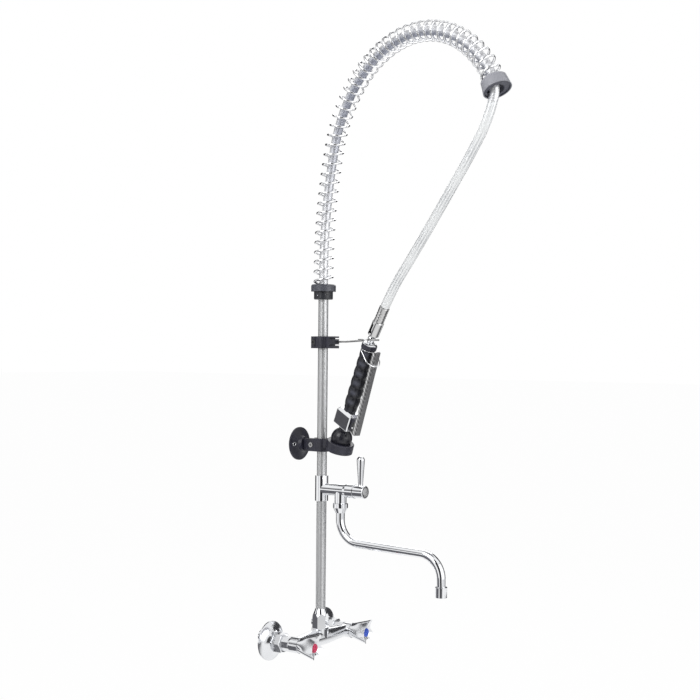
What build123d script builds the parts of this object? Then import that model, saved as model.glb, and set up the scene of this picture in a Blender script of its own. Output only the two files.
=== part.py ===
"""Wall-mounted pre-rinse faucet: mixer, riser, pot-filler tap, sprung hose and spray gun.

Millimetres. The origin is on the wall, midway between the two supply inlets: X to the right, Y into the
wall, Z up. The arch, the hose, the hook and the gun share one upright plane through the riser, turned a
little to the left of straight out.
"""

from math import atan2, cos, degrees, hypot, pi, radians, sin, sqrt, tan
import os

from build123d import *

os.makedirs("parts", exist_ok=True)

# Fits
running_gap = 0.05
thread_gap = 0.1
seat_gap = 0.3

# Supply inlets and their rosettes
inlet_spacing = 150.0
stud_radius = 10.48
stud_length = 18.0
stud_bore = 7.5
union_drop = 6.0
union_thread = 13.2
union_reach = 24.0
union_bore = 9.0
rosette_radius = 33.0
rosette_lip = 2.2
rosette_neck = 17.0
rosette_depth = 13.0
rosette_wall = 1.7
nut_flats = 30.0
nut_end = 31.0
nut_groove = 1.0
washer_thick = 2.0

# Mixer body
riser_out = 50.0
inlet_neck = 11.0
inlet_flats = 24.0
flange_thick = 3.0
passage = 7.0
bar_radius = 11.5
elbow_radius = 13.0
taper_start = 60.0
hub_half_width = 15.0
hub_depth = 13.5
hub_height = 14.6
boss_radius = 14.2
boss_top = 9.0
flat_length = 36.0
flat_width = 7.0
spigot_radius = 10.3
spigot_height = 13.0
riser_socket = 8.0
body_front = 65.0

# Headworks and handles
headwork_radius = 9.6
headwork_depth = 15.0
headwork_flats = 17.0
headwork_hex = 5.0
guide_radius = 6.0
guide_length = 5.0
spindle_radius = 3.4
spindle_end = 88.0
handle_start = body_front + seat_gap
handle_neck = 12.6
handle_front = 107.0
handle_tip = 24.5
handle_waist = 10.2
lobe_round = 4.6
lobe_spread = 75.0
first_lobe = 93.0
recess_floor = 93.2
dish_lip = 1.4
button_radius = 7.2
button_face = 5.9
button_thick = 2.4
screw_head = 3.6
screw_shank = 1.95

# Riser and its nut
riser_radius = 8.5
riser_wall = 1.2
riser_nut_flats = 24.0
riser_nut_hex = 21.0
riser_nut_top = 43.0
riser_nut_throat = 8.75
olive_height = 5.0
riser_top = 580.0

# Tee, tap and spout
tee_foot = 227.7
tee_top = 270.9
tee_radius = 11.25
tap_level = 248.0
barrel_radius = 10.4
barrel_bore = 4.2
barrel_length = 50.0
chest_radius = 11.8
chest_end = 70.0
swivel_out = 40.0
neck_drop = 21.5
neck_foot = tap_level - neck_drop
neck_outer = 10.2
neck_bore_radius = 4.6
neck_spigot = 9.4
neck_spigot_length = 7.0
spout_nut_radius = 12.8
spout_nut_band = 8.0
spout_nut_cone = 8.5
spout_radius = 7.5
spout_wall = 1.0
spout_collar = 9.1
spout_collar_thick = 2.0
seal_thick = 1.6
spout_drop = 64.5
spout_fall = 7.0
spout_hang = 51.0
spout_reach = 198.5
spout_splay = 2.0
spout_first_bend = (swivel_out, neck_foot - spout_drop)
spout_second_bend = (swivel_out + spout_reach, spout_first_bend[1] - spout_fall)
spout_mouth = (spout_second_bend[0] + spout_splay, spout_second_bend[1] - spout_hang)
spout_bend = 38.0
aerator_radius = 10.0
aerator_length = 18.0
aerator_cover = 3.0
aerator_foot = spout_mouth[1] + aerator_cover - aerator_length
hub_radius = 11.0
hub_end = 91.0
axle_radius = 4.0
lever_out = 81.0
lever_rise = 12.0
lever_length = 48.0
lever_foot = tap_level + lever_rise
lever_top = lever_foot + lever_length
lever_foot_radius = 4.0
lever_head_radius = 6.9
grub_radius = 2.4
grub_turn = 33.5

# Wall bracket and gun holder
bracket_level = 323.3
disc_radius = 28.5
disc_thick = 2.5
disc_crown = 7.0
disc_boss = 13.0
disc_reach = 14.0
disc_hole = 2.5
disc_hole_spacing = 40.0
tongue_half = 4.5
tongue_height = 19.0
clamp_radius = 14.0
clamp_height = 22.0
cheek_half = 13.0
cheek_start = 28.0
cheek_screw = 35.5
clamp_round = 3.4
clamp_screw_radius = 2.4
clamp_screw_head = 4.2
holder_lean = 20.0
holder_radius = 23.5
holder_height = 16.0
holder_drop = 14.7
holder_throat = 11.4
holder_bevel = 1.2

# Hook
hook_level = 499.0
hook_height = 20.4
hook_band = 14.5
hook_cheek = 8.5
hook_slot = 2.4
hook_wire_radius = 1.6
hook_loop = 15.8
hook_loop_out = 125.5
hook_loop_level = 503.0
hook_root = 22.0
hook_bend = 60.0

# Lower ferrule, arch and spring
ferrule_radius = 16.25
ferrule_grip = 7.6
ferrule_foot = riser_top - ferrule_grip
cup_radius = 21.2
cup_rise = 6.0
cup_height = 12.0
cup_bore = 18.2
cup_web = 4.0
cup_foot = riser_top + cup_rise
cup_top = cup_foot + cup_height
cup_floor = cup_foot + cup_web
hose_radius = 7.5
hose_bore = 5.0
spring_radius = 17.3
wire_radius = 2.0
spring_turns = 45
straight_run = 20.7
straight_top = cup_top + straight_run
arch_bends = ((800.0, 15.36), (212.0, 124.64), (90.0, 12.0))
arch_tail = 31.0
collar_top_radius = 20.0
collar_foot_radius = 22.35
collar_length = 18.0
collar_web_top = 6.0
collar_web_foot = 1.5
collar_lip = 2.4
collar_hole = 13.4
collar_hole_shift = 2.9
hose_leave = 7.0

# Free hose, from the collar to the gun: distance out from the riser axis, and height
hose_route = (
    (411.1, 853.6),
    (400.2, 826.6),
    (377.0, 794.5),
    (330.0, 740.3),
    (240.5, 641.5),
    (186.0, 586.0),
    (163.0, 551.0),
)

# Gun
arm_turn = 17.0
gun_lean = 25.0
ball_out = 54.9
ball_level = 338.2
ball_radius = 18.0
ball_neck = 9.0
mouth_depth = 13.0
mouth_radius = 11.2
plate_thick = 1.8
head_foot = 22.5
head_top = 47.3
head_half_length = 19.0
head_half_width = 12.2
head_bevel = 3.5
head_crown = 52.0
panel_thick = 1.2
panel_margin = 1.6
grip_top = 166.0
grip_foot_radius = 10.5
grip_valley = 11.2
grip_top_radius = 12.0
grip_ribs = 5
rib_length = 17.5
rib_start = 62.0
rib_height = 1.2
cap_radius = 13.0
cap_top = 176.0
cap_shoulder = 173.5
cap_throat = 8.0
neck_radius = 5.5
neck_bore = 3.5
coupling_radius = 9.5
coupling_start = 7.0
coupling_length = 26.0
crimp_radius = 8.4
mount_half_width = 4.6
mount_reach = 30.0
pin_out = 26.0
pin_level = 33.0
pin_radius = 1.5
lever_low = (35.0, 23.0)
lever_high = (24.5, 170.0)
lever_half_width = 6.25
lever_sheet = 1.2
lever_flange = 4.5
lever_ear = 11.5
lever_ear_run = 26.0
lever_ear_crest = 17.0
stem_radius = 2.0
stem_level = 43.0
bail_radius = 0.9
bail_level = 163.0
bail_half_width = 14.4
bail_pin_end = 9.5
bail_corner = 1.6
bail_cross_level = 147.0

mixer_level = -union_drop
inlet_x = inlet_spacing / 2
sides = {"hot": -inlet_x, "cold": inlet_x}

# Directions of the arm plane
arm_dir = Vector(-sin(radians(arm_turn)), -cos(radians(arm_turn)), 0)
side_dir = Vector(cos(radians(arm_turn)), -sin(radians(arm_turn)), 0)
up_dir = Vector(0, 0, 1)
riser_axis = Vector(0, -riser_out, 0)


def arm_point(out, level, side=0.0):
    """Point given by its distance out from the riser axis, its height and its offset to the right."""
    return riser_axis + arm_dir * out + up_dir * level + side_dir * side


def leaning(out, level, lean):
    """Section plane in the arm plane: y runs up the leaning axis, x square to it and outward."""
    across = arm_dir * cos(radians(lean)) - up_dir * sin(radians(lean))
    return Plane(origin=arm_point(out, level), x_dir=across, z_dir=-side_dir)


def square_to(section, height=0.0):
    """Plane square to a leaning section's axis, at a height along it."""
    return Plane(
        origin=section.origin + section.y_dir * height, x_dir=section.x_dir, z_dir=section.y_dir
    )


def wall_section(x, level):
    """Section plane with y out of the wall and x to the right."""
    return Plane(origin=(x, 0, level), x_dir=(1, 0, 0), z_dir=(0, 0, -1))


def facing_wall(x, level, out):
    """Plane parallel to the wall whose normal points into the room."""
    return Plane(origin=(x, -out, level), x_dir=(1, 0, 0), z_dir=(0, -1, 0))


def turned(section, outline):
    """Body of revolution about a section plane's y axis, from corners of radius and height."""
    with BuildPart() as body:
        with BuildSketch(section):
            with BuildLine():
                Polyline(*outline, close=True)
            make_face()
        revolve(axis=Axis(section.origin, section.y_dir))
    return body.part


def save(piece, name):
    """Label one sub-part and write its file."""
    piece.label = name
    export_step(piece, f"parts/{name}.step")


# Wall rosette, a thin dome round the union
def rosette(x):
    hole = union_thread + seat_gap
    rim = rosette_radius - rosette_wall
    ceiling = rosette_depth - rosette_wall
    with BuildPart() as dome:
        with BuildSketch(wall_section(x, mixer_level)):
            with BuildLine():
                Line((rosette_radius, 0), (rosette_radius, rosette_lip))
                SagittaArc((rosette_radius, rosette_lip), (rosette_neck, rosette_depth), 2.2)
                Polyline((rosette_neck, rosette_depth), (hole, rosette_depth), (hole, ceiling))
                Line((hole, ceiling), (rosette_neck - rosette_wall / 2, ceiling))
                SagittaArc((rosette_neck - rosette_wall / 2, ceiling), (rim, rosette_lip), -2.2)
                Polyline((rim, rosette_lip), (rim, 0), (rosette_radius, 0))
            make_face()
        revolve(axis=Axis((x, 0, mixer_level), (0, -1, 0)))
    return dome.part


# Eccentric wall union: stud in the wall, closed at its inner end, stepped down to the union thread
def wall_union(x):
    waist_start = 3.0
    waist_end = 9.0
    with BuildPart() as union:
        with BuildSketch(facing_wall(x, 0, -stud_length)):
            Circle(stud_radius)
        extrude(amount=stud_length + waist_start)
        with BuildSketch(facing_wall(x, 0, waist_start)):
            Circle(stud_radius)
        with BuildSketch(facing_wall(x, mixer_level, waist_end)):
            Circle(union_thread)
        loft()
        with BuildSketch(facing_wall(x, mixer_level, waist_end)):
            Circle(union_thread)
        extrude(amount=union_reach - waist_end)
        with BuildSketch(facing_wall(x, 0, waist_start)):
            Circle(stud_bore)
        extrude(amount=waist_end - waist_start, mode=Mode.SUBTRACT)
        with BuildSketch(facing_wall(x, mixer_level, waist_start)):
            Circle(union_bore)
        extrude(amount=union_reach - waist_start, mode=Mode.SUBTRACT)
    return union.part


nut_start = rosette_depth + seat_gap


# Union nut: hexagon with turned grooves at its wall end, lipped over the body's flange
def union_nut(x):
    corner = nut_flats / sqrt(3)
    flange_end = union_reach + washer_thick + flange_thick
    grooves = [nut_start + step for step in (1.6, 4.0, 6.4)]
    with BuildPart() as nut:
        with BuildSketch(facing_wall(x, mixer_level, nut_start)):
            RegularPolygon(corner, 6)
        extrude(amount=nut_end - nut_start)
        with BuildSketch(wall_section(x, mixer_level)):
            with BuildLine():
                Polyline(
                    (0, nut_start), (corner - 2.5, nut_start), (corner, nut_start + 1.4),
                    (corner, nut_end - 1.4), (corner - 2.5, nut_end), (0, nut_end), close=True,
                )
            make_face()
        revolve(axis=Axis((x, 0, mixer_level), (0, -1, 0)), mode=Mode.INTERSECT)
        for start in grooves:
            with BuildSketch(facing_wall(x, mixer_level, start)):
                Circle(corner + 1)
                Circle(nut_flats / 2 - nut_groove, mode=Mode.SUBTRACT)
            extrude(amount=nut_groove, mode=Mode.SUBTRACT)
        with BuildSketch(facing_wall(x, mixer_level, nut_start)):
            Circle(union_thread + thread_gap)
        extrude(amount=flange_end + thread_gap - nut_start, mode=Mode.SUBTRACT)
        with BuildSketch(facing_wall(x, mixer_level, nut_start)):
            Circle(inlet_neck + thread_gap)
        extrude(amount=nut_end - nut_start, mode=Mode.SUBTRACT)
    return nut.part


for side, x in sides.items():
    save(rosette(x), f"rosette_{side}")
    save(wall_union(x), f"wall_union_{side}")
    save(union_nut(x), f"union_nut_{side}")

with BuildPart() as inlet_washers:
    for x in sides.values():
        with BuildSketch(facing_wall(x, mixer_level, union_reach)):
            Circle(union_thread)
            Circle(union_bore, mode=Mode.SUBTRACT)
        extrude(amount=washer_thick)
save(inlet_washers.part, "inlet_washers")

# Mixer body: two inlet elbows, wings that swell to the middle, and the boss under the riser
inlet_face = union_reach + washer_thick
with BuildPart() as mixer_body:
    for way, x in ((-1, -inlet_x), (1, inlet_x)):
        with BuildSketch(facing_wall(x, mixer_level, inlet_face)):
            Circle(union_thread)
        extrude(amount=flange_thick)
        with BuildSketch(facing_wall(x, mixer_level, inlet_face)):
            Circle(inlet_neck)
        extrude(amount=riser_out - inlet_face)
        with BuildSketch(facing_wall(x, mixer_level, nut_end + seat_gap)):
            RegularPolygon(inlet_flats / 2 / cos(pi / 8), 8, rotation=22.5)
        extrude(amount=riser_out - nut_end)
        with Locations((x, -riser_out, mixer_level)):
            Sphere(elbow_radius)
        with BuildSketch(facing_wall(x, mixer_level, riser_out)):
            Circle(elbow_radius)
        extrude(amount=body_front - riser_out)
        with BuildSketch(Plane(origin=(x, -riser_out, mixer_level), x_dir=(0, 1, 0), z_dir=(-way, 0, 0))):
            Circle(bar_radius)
        extrude(amount=inlet_x - taper_start)
        with BuildSketch(
            Plane(origin=(way * taper_start, -riser_out, mixer_level), x_dir=(0, 1, 0), z_dir=(-way, 0, 0))
        ):
            Circle(bar_radius)
        with BuildSketch(
            Plane(origin=(way * hub_half_width, -riser_out, mixer_level), x_dir=(0, 1, 0), z_dir=(-way, 0, 0))
        ):
            Ellipse(hub_depth, hub_height)
        loft()
    with BuildSketch(
        Plane(origin=(-hub_half_width, -riser_out, mixer_level), x_dir=(0, 1, 0), z_dir=(1, 0, 0))
    ):
        Ellipse(hub_depth, hub_height)
    extrude(amount=2 * hub_half_width)
    with BuildSketch(Plane((0, -riser_out, mixer_level))):
        Circle(boss_radius)
    extrude(amount=boss_top - mixer_level)
    with BuildSketch(Plane((0, -riser_out, boss_top))):
        Circle(spigot_radius)
    extrude(amount=spigot_height)
    with BuildSketch(
        Plane(origin=(30, -riser_out, mixer_level), x_dir=(1, 0, 0), z_dir=(0, -0.77, 0.64)).offset(12.3)
    ):
        SlotOverall(flat_length, flat_width)
    extrude(amount=8, mode=Mode.SUBTRACT)
    with BuildSketch(Plane((0, -riser_out, boss_top + spigot_height))):
        Circle(riser_radius + thread_gap)
    extrude(amount=-riser_socket, mode=Mode.SUBTRACT)
    with BuildSketch(Plane((0, -riser_out, boss_top + spigot_height))):
        Circle(passage)
    extrude(amount=-(boss_top + spigot_height - mixer_level), mode=Mode.SUBTRACT)
    with BuildSketch(
        Plane(origin=(-inlet_x, -riser_out, mixer_level), x_dir=(0, 1, 0), z_dir=(1, 0, 0))
    ):
        Circle(passage)
    extrude(amount=inlet_spacing, mode=Mode.SUBTRACT)
    for x in sides.values():
        with BuildSketch(facing_wall(x, mixer_level, inlet_face)):
            Circle(passage)
        extrude(amount=riser_out - inlet_face, mode=Mode.SUBTRACT)
        with BuildSketch(facing_wall(x, mixer_level, body_front)):
            Circle(headwork_radius + thread_gap)
        extrude(amount=-headwork_depth, mode=Mode.SUBTRACT)
save(mixer_body.part, "mixer_body")


# Headwork: the valve body screwed into the mixer, with a hexagon and a spindle guide
def headwork(x):
    corner = headwork_flats / sqrt(3)
    with BuildPart() as valve:
        with BuildSketch(facing_wall(x, mixer_level, body_front - headwork_depth + 1)):
            Circle(headwork_radius)
        extrude(amount=headwork_depth - 1)
        with BuildSketch(facing_wall(x, mixer_level, body_front)):
            RegularPolygon(corner, 6)
        extrude(amount=headwork_hex)
        with BuildSketch(facing_wall(x, mixer_level, body_front + headwork_hex)):
            Circle(guide_radius)
        extrude(amount=guide_length)
        with BuildSketch(facing_wall(x, mixer_level, body_front - headwork_depth + 5)):
            Circle(spindle_radius + running_gap)
        extrude(amount=headwork_depth + headwork_hex + guide_length, mode=Mode.SUBTRACT)
    return valve.part


def spindle(x):
    start = body_front - headwork_depth + 5 + seat_gap
    with BuildPart() as stem:
        with BuildSketch(facing_wall(x, mixer_level, start)):
            Circle(spindle_radius)
        extrude(amount=spindle_end - start)
        with BuildSketch(facing_wall(x, mixer_level, spindle_end)):
            Circle(screw_shank + running_gap)
        extrude(amount=-9, mode=Mode.SUBTRACT)
    return stem.part


def lobed_outline(tip, waist, rounding, spread):
    """Three round tips joined by three waists, as arcs: spread is the half angle that a tip fills."""
    heart = tip - rounding
    for lobe in range(3):
        angle = first_lobe + 120 * lobe
        centre = Vector(heart, 0).rotate(Axis.Z, angle)
        left = centre + Vector(rounding, 0).rotate(Axis.Z, angle - spread)
        right = centre + Vector(rounding, 0).rotate(Axis.Z, angle + spread)
        far = Vector(heart, 0).rotate(Axis.Z, angle + 120)
        far_left = far + Vector(rounding, 0).rotate(Axis.Z, angle + 120 - spread)
        ThreePointArc(left, Vector(tip, 0).rotate(Axis.Z, angle), right)
        ThreePointArc(right, Vector(waist, 0).rotate(Axis.Z, angle + 60), far_left)


# Handle: three lobes that flare from a round skirt over the headwork, dished at the front round the index button
def handle(x):
    guide_room = body_front + headwork_hex + guide_length + 1
    web = spindle_end + 2
    with BuildPart() as grip:
        with BuildSketch(facing_wall(x, mixer_level, handle_start)):
            with BuildLine():
                lobed_outline(handle_neck, handle_neck, handle_neck / 2, lobe_spread - 30)
            make_face()
        with BuildSketch(facing_wall(x, mixer_level, handle_front)):
            with BuildLine():
                lobed_outline(handle_tip, handle_waist, lobe_round, lobe_spread)
            make_face()
        loft()
        with BuildSketch(wall_section(x, mixer_level)):
            with BuildLine():
                Polyline(
                    (0, recess_floor), (button_radius + thread_gap, recess_floor),
                    (button_radius + thread_gap, recess_floor + dish_lip), (handle_tip + 1, handle_front),
                    (handle_tip + 1, handle_front + 1), (0, handle_front + 1), close=True,
                )
            make_face()
        revolve(axis=Axis((x, 0, mixer_level), (0, -1, 0)), mode=Mode.SUBTRACT)
        with BuildSketch(facing_wall(x, mixer_level, handle_start)):
            Circle(headwork_flats / sqrt(3) + seat_gap)
        extrude(amount=headwork_hex + seat_gap, mode=Mode.SUBTRACT)
        with BuildSketch(facing_wall(x, mixer_level, handle_start)):
            Circle(guide_radius + seat_gap)
        extrude(amount=guide_room - handle_start, mode=Mode.SUBTRACT)
        with BuildSketch(facing_wall(x, mixer_level, handle_start)):
            Circle(spindle_radius + running_gap)
        extrude(amount=spindle_end - handle_start, mode=Mode.SUBTRACT)
        with BuildSketch(facing_wall(x, mixer_level, spindle_end)):
            Circle(screw_shank + running_gap)
        extrude(amount=web - spindle_end, mode=Mode.SUBTRACT)
        with BuildSketch(facing_wall(x, mixer_level, web)):
            Circle(screw_head + thread_gap)
        extrude(amount=recess_floor - web, mode=Mode.SUBTRACT)
    return grip.part


def handle_screw(x):
    with BuildPart() as screw:
        with BuildSketch(facing_wall(x, mixer_level, spindle_end - 8)):
            Circle(screw_shank)
        extrude(amount=10)
        with BuildSketch(facing_wall(x, mixer_level, spindle_end + 2)):
            Circle(screw_head)
        extrude(amount=recess_floor - spindle_end - 2)
        with BuildSketch(facing_wall(x, mixer_level, recess_floor)):
            RegularPolygon(1.8, 6)
        extrude(amount=-2, mode=Mode.SUBTRACT)
    return screw.part


def index_button(x):
    with BuildPart() as button:
        with BuildSketch(facing_wall(x, mixer_level, recess_floor)):
            Circle(button_radius)
        extrude(amount=button_thick - 0.8)
        with BuildSketch(facing_wall(x, mixer_level, recess_floor)):
            Circle(button_face)
        extrude(amount=button_thick)
    return button.part


for side, x in sides.items():
    save(headwork(x), f"headwork_{side}")
    save(spindle(x), f"spindle_{side}")
    save(handle(x), f"handle_{side}")
    save(handle_screw(x), f"handle_screw_{side}")
    save(index_button(x), f"index_button_{side}")

# Riser nut: hexagon below, cone up to the tube
nut_corner = riser_nut_flats / sqrt(3)
nut_room = boss_top + spigot_height + thread_gap
riser_section = Plane(origin=(0, -riser_out, 0), x_dir=(1, 0, 0), z_dir=(0, -1, 0))
with BuildPart() as riser_nut:
    with BuildSketch(Plane((0, -riser_out, boss_top))):
        RegularPolygon(nut_corner, 6, rotation=15)
    extrude(amount=riser_nut_top - boss_top)
    with BuildSketch(riser_section):
        with BuildLine():
            Polyline(
                (0, boss_top), (nut_corner - 1, boss_top), (nut_corner, boss_top + 1.2),
                (nut_corner, boss_top + riser_nut_hex), (riser_nut_throat, riser_nut_top),
                (0, riser_nut_top), close=True,
            )
        make_face()
    revolve(axis=Axis((0, -riser_out, 0), (0, 0, 1)), mode=Mode.INTERSECT)
    with BuildSketch(Plane((0, -riser_out, boss_top))):
        Circle(spigot_radius + thread_gap)
    extrude(amount=nut_room + olive_height - boss_top, mode=Mode.SUBTRACT)
    with BuildSketch(Plane((0, -riser_out, boss_top))):
        Circle(riser_radius + thread_gap)
    extrude(amount=riser_nut_top - boss_top, mode=Mode.SUBTRACT)
save(riser_nut.part, "riser_nut")

olive_in = riser_radius + running_gap
riser_olive = turned(
    riser_section,
    (
        (olive_in, nut_room), (spigot_radius - 0.8, nut_room), (spigot_radius, nut_room + olive_height / 2),
        (spigot_radius - 0.8, nut_room + olive_height), (olive_in, nut_room + olive_height),
    ),
)
save(riser_olive, "riser_olive")


def riser_tube(foot, top):
    with BuildPart() as tube:
        with BuildSketch(Plane((0, -riser_out, foot))):
            Circle(riser_radius)
            Circle(riser_radius - riser_wall, mode=Mode.SUBTRACT)
        extrude(amount=top - foot)
    return tube.part


socket_step = 5.0
save(riser_tube(boss_top + spigot_height - riser_socket, tap_level - socket_step), "lower_riser")
save(riser_tube(tap_level + socket_step, riser_top), "upper_riser")

# Tee: sleeve on the riser, barrel straight out, swivel neck below the barrel
with BuildPart() as tee_body:
    with BuildSketch(Plane((0, -riser_out, tee_foot))):
        Circle(tee_radius)
    extrude(amount=tee_top - tee_foot)
    with BuildSketch(facing_wall(0, tap_level, riser_out)):
        Circle(barrel_radius)
    extrude(amount=barrel_length)
    with BuildSketch(facing_wall(0, tap_level, riser_out + barrel_length)):
        Circle(barrel_radius)
    with BuildSketch(facing_wall(0, tap_level, riser_out + barrel_length + 5)):
        Circle(chest_radius)
    loft()
    with BuildSketch(facing_wall(0, tap_level, riser_out + barrel_length + 5)):
        Circle(chest_radius)
    extrude(amount=chest_end - barrel_length - 5)
    with BuildSketch(Plane((0, -riser_out - swivel_out, neck_foot))):
        Circle(neck_outer)
    extrude(amount=tap_level - neck_foot)
    with BuildSketch(Plane((0, -riser_out - swivel_out, neck_foot))):
        Circle(neck_spigot)
    extrude(amount=-neck_spigot_length)
    with BuildSketch(Plane((0, -riser_out, tap_level + socket_step))):
        Circle(riser_radius + thread_gap)
    extrude(amount=tee_top - tap_level - socket_step, mode=Mode.SUBTRACT)
    with BuildSketch(Plane((0, -riser_out, tee_foot))):
        Circle(riser_radius + thread_gap)
    extrude(amount=tap_level - socket_step - tee_foot, mode=Mode.SUBTRACT)
    with BuildSketch(Plane((0, -riser_out, tee_foot))):
        Circle(passage)
    extrude(amount=tee_top - tee_foot, mode=Mode.SUBTRACT)
    with BuildSketch(facing_wall(0, tap_level, riser_out)):
        Circle(barrel_bore)
    extrude(amount=barrel_length, mode=Mode.SUBTRACT)
    with BuildSketch(Plane((0, -riser_out - swivel_out, tap_level))):
        Circle(neck_bore_radius)
    extrude(amount=-(tap_level - neck_foot + neck_spigot_length), mode=Mode.SUBTRACT)
    with BuildSketch(facing_wall(0, tap_level, riser_out + barrel_length)):
        Circle(headwork_radius + thread_gap)
    extrude(amount=chest_end - barrel_length, mode=Mode.SUBTRACT)
    for level in (tee_top - 4.2, tee_foot + 4.2):
        with BuildSketch(
            Plane(
                origin=(0, -riser_out, level),
                x_dir=(0, 0, 1),
                z_dir=(-sin(radians(grub_turn)), -cos(radians(grub_turn)), 0),
            ).offset(passage)
        ):
            Circle(grub_radius + thread_gap)
        extrude(amount=tee_radius - passage, mode=Mode.SUBTRACT)
save(tee_body.part, "tee_body")

with BuildPart() as grub_screws:
    for level, turn, reach in (
        (tee_top - 4.2, grub_turn, tee_radius), (tee_foot + 4.2, grub_turn, tee_radius),
        (cup_foot - 6.5, 90, ferrule_radius + 0.8),
    ):
        with BuildSketch(
            Plane(
                origin=(0, -riser_out, level),
                x_dir=(0, 0, 1),
                z_dir=(-sin(radians(turn)), -cos(radians(turn)), 0),
            ).offset(riser_radius + running_gap)
        ):
            Circle(grub_radius)
        screw_length = reach - riser_radius - 0.3
        extrude(amount=screw_length)
        with BuildSketch(
            Plane(
                origin=(0, -riser_out, level),
                x_dir=(0, 0, 1),
                z_dir=(-sin(radians(turn)), -cos(radians(turn)), 0),
            ).offset(riser_radius + screw_length - 1)
        ):
            RegularPolygon(1.3, 6)
        extrude(amount=2, mode=Mode.SUBTRACT)
save(grub_screws.part, "grub_screws")

# Tap cartridge, with the axle that the hub turns on
with BuildPart() as tap_cartridge:
    with BuildSketch(facing_wall(0, tap_level, riser_out + barrel_length)):
        Circle(headwork_radius)
    extrude(amount=chest_end - barrel_length)
    with BuildSketch(facing_wall(0, tap_level, riser_out + chest_end)):
        Circle(axle_radius)
    extrude(amount=lever_out + 3 - chest_end)
save(tap_cartridge.part, "tap_cartridge")

with BuildPart() as tap_hub:
    with BuildSketch(facing_wall(0, tap_level, riser_out + chest_end + seat_gap)):
        Circle(hub_radius)
    extrude(amount=hub_end - chest_end - seat_gap)
    fillet(tap_hub.faces().sort_by(Axis.Y)[0].edges(), 1.2)
    with BuildSketch(Plane((0, -riser_out - lever_out, tap_level + 6))):
        Circle(6.5)
    with BuildSketch(Plane((0, -riser_out - lever_out, lever_foot))):
        Circle(lever_foot_radius)
    loft()
    with BuildSketch(facing_wall(0, tap_level, riser_out + chest_end)):
        Circle(axle_radius + running_gap)
    extrude(amount=lever_out + 3 + seat_gap - chest_end, mode=Mode.SUBTRACT)
    with BuildSketch(facing_wall(0, tap_level, riser_out + hub_end - 0.8)):
        Circle(hub_radius - 1.8)
        Circle(hub_radius - 3.2, mode=Mode.SUBTRACT)
    extrude(amount=2, mode=Mode.SUBTRACT)
    with BuildSketch(Plane((0, -riser_out - lever_out, lever_foot + 1))):
        Circle(2.5 + thread_gap)
    extrude(amount=-7, mode=Mode.SUBTRACT)
save(tap_hub.part, "tap_hub")

lever_section = Plane(origin=(0, -riser_out - lever_out, 0), x_dir=(1, 0, 0), z_dir=(0, -1, 0))
with BuildPart() as tap_lever:
    shoulder = lever_top - lever_head_radius
    with BuildSketch(lever_section):
        with BuildLine():
            Polyline((0, lever_foot - 5.5), (2.5, lever_foot - 5.5), (2.5, lever_foot), (lever_foot_radius, lever_foot))
            side_line = Line((lever_foot_radius, lever_foot), (lever_head_radius, shoulder))
            diagonal = lever_head_radius / sqrt(2)
            ThreePointArc(side_line @ 1, (diagonal, shoulder + diagonal), (0, lever_top))
            Line((0, lever_top), (0, lever_foot - 5.5))
        make_face()
    revolve(axis=Axis((0, -riser_out - lever_out, 0), (0, 0, 1)))
save(tap_lever.part, "tap_lever")

# Swivel nut of the spout, the tube with its collar, and the seal above the collar
swivel_section = Plane(origin=(0, -riser_out - swivel_out, 0), x_dir=(1, 0, 0), z_dir=(0, -1, 0))
collar_foot_level = neck_foot - neck_spigot_length - seal_thick - spout_collar_thick
spout_nut = turned(
    swivel_section,
    (
        (neck_spigot + thread_gap, neck_foot), (spout_nut_radius - 1, neck_foot),
        (spout_nut_radius, neck_foot - 1), (spout_nut_radius, neck_foot - spout_nut_band),
        (spout_radius + 1.2, neck_foot - spout_nut_band - spout_nut_cone),
        (spout_radius + thread_gap, neck_foot - spout_nut_band - spout_nut_cone),
        (spout_radius + thread_gap, collar_foot_level), (neck_spigot + thread_gap, collar_foot_level),
    ),
)
save(spout_nut, "spout_nut")

seal_foot = neck_foot - neck_spigot_length - seal_thick
spout_seal = turned(
    swivel_section,
    (
        (spout_radius - spout_wall, seal_foot), (spout_collar, seal_foot),
        (spout_collar, seal_foot + seal_thick), (spout_radius - spout_wall, seal_foot + seal_thick),
    ),
)
save(spout_seal, "spout_seal")


def spout_point(corner):
    return Vector(0, -riser_out - corner[0], corner[1])


with BuildPart() as spout_tube:
    with BuildLine() as spout_path:
        FilletPolyline(
            Vector(0, -riser_out - swivel_out, collar_foot_level),
            spout_point(spout_first_bend),
            spout_point(spout_second_bend),
            spout_point(spout_mouth),
            radius=spout_bend,
        )
    with BuildSketch(Plane(origin=spout_path.line @ 0, z_dir=spout_path.line % 0)):
        Circle(spout_radius)
        Circle(spout_radius - spout_wall, mode=Mode.SUBTRACT)
    sweep()
    with BuildSketch(Plane((0, -riser_out - swivel_out, collar_foot_level))):
        Circle(spout_collar)
        Circle(spout_radius - spout_wall, mode=Mode.SUBTRACT)
    extrude(amount=spout_collar_thick)
save(spout_tube.part, "spout_tube")

mouth_section = Plane(origin=(0, -riser_out - spout_mouth[0], 0), x_dir=(1, 0, 0), z_dir=(0, -1, 0))
aerator_top = aerator_foot + aerator_length
insert_top = aerator_foot + 11
aerator_housing = turned(
    mouth_section,
    (
        (spout_radius + 0.2, aerator_top), (aerator_radius - 1.2, aerator_top), (aerator_radius, aerator_top - 1.2),
        (aerator_radius, aerator_foot + 0.8), (aerator_radius - 0.8, aerator_foot),
        (aerator_radius - 2.4, aerator_foot), (aerator_radius - 2.4, aerator_foot + 1.5),
        (aerator_radius - 1.2, aerator_foot + 1.5), (aerator_radius - 1.2, insert_top),
        (spout_radius + 0.2, insert_top),
    ),
)
save(aerator_housing, "aerator_housing")

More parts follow.
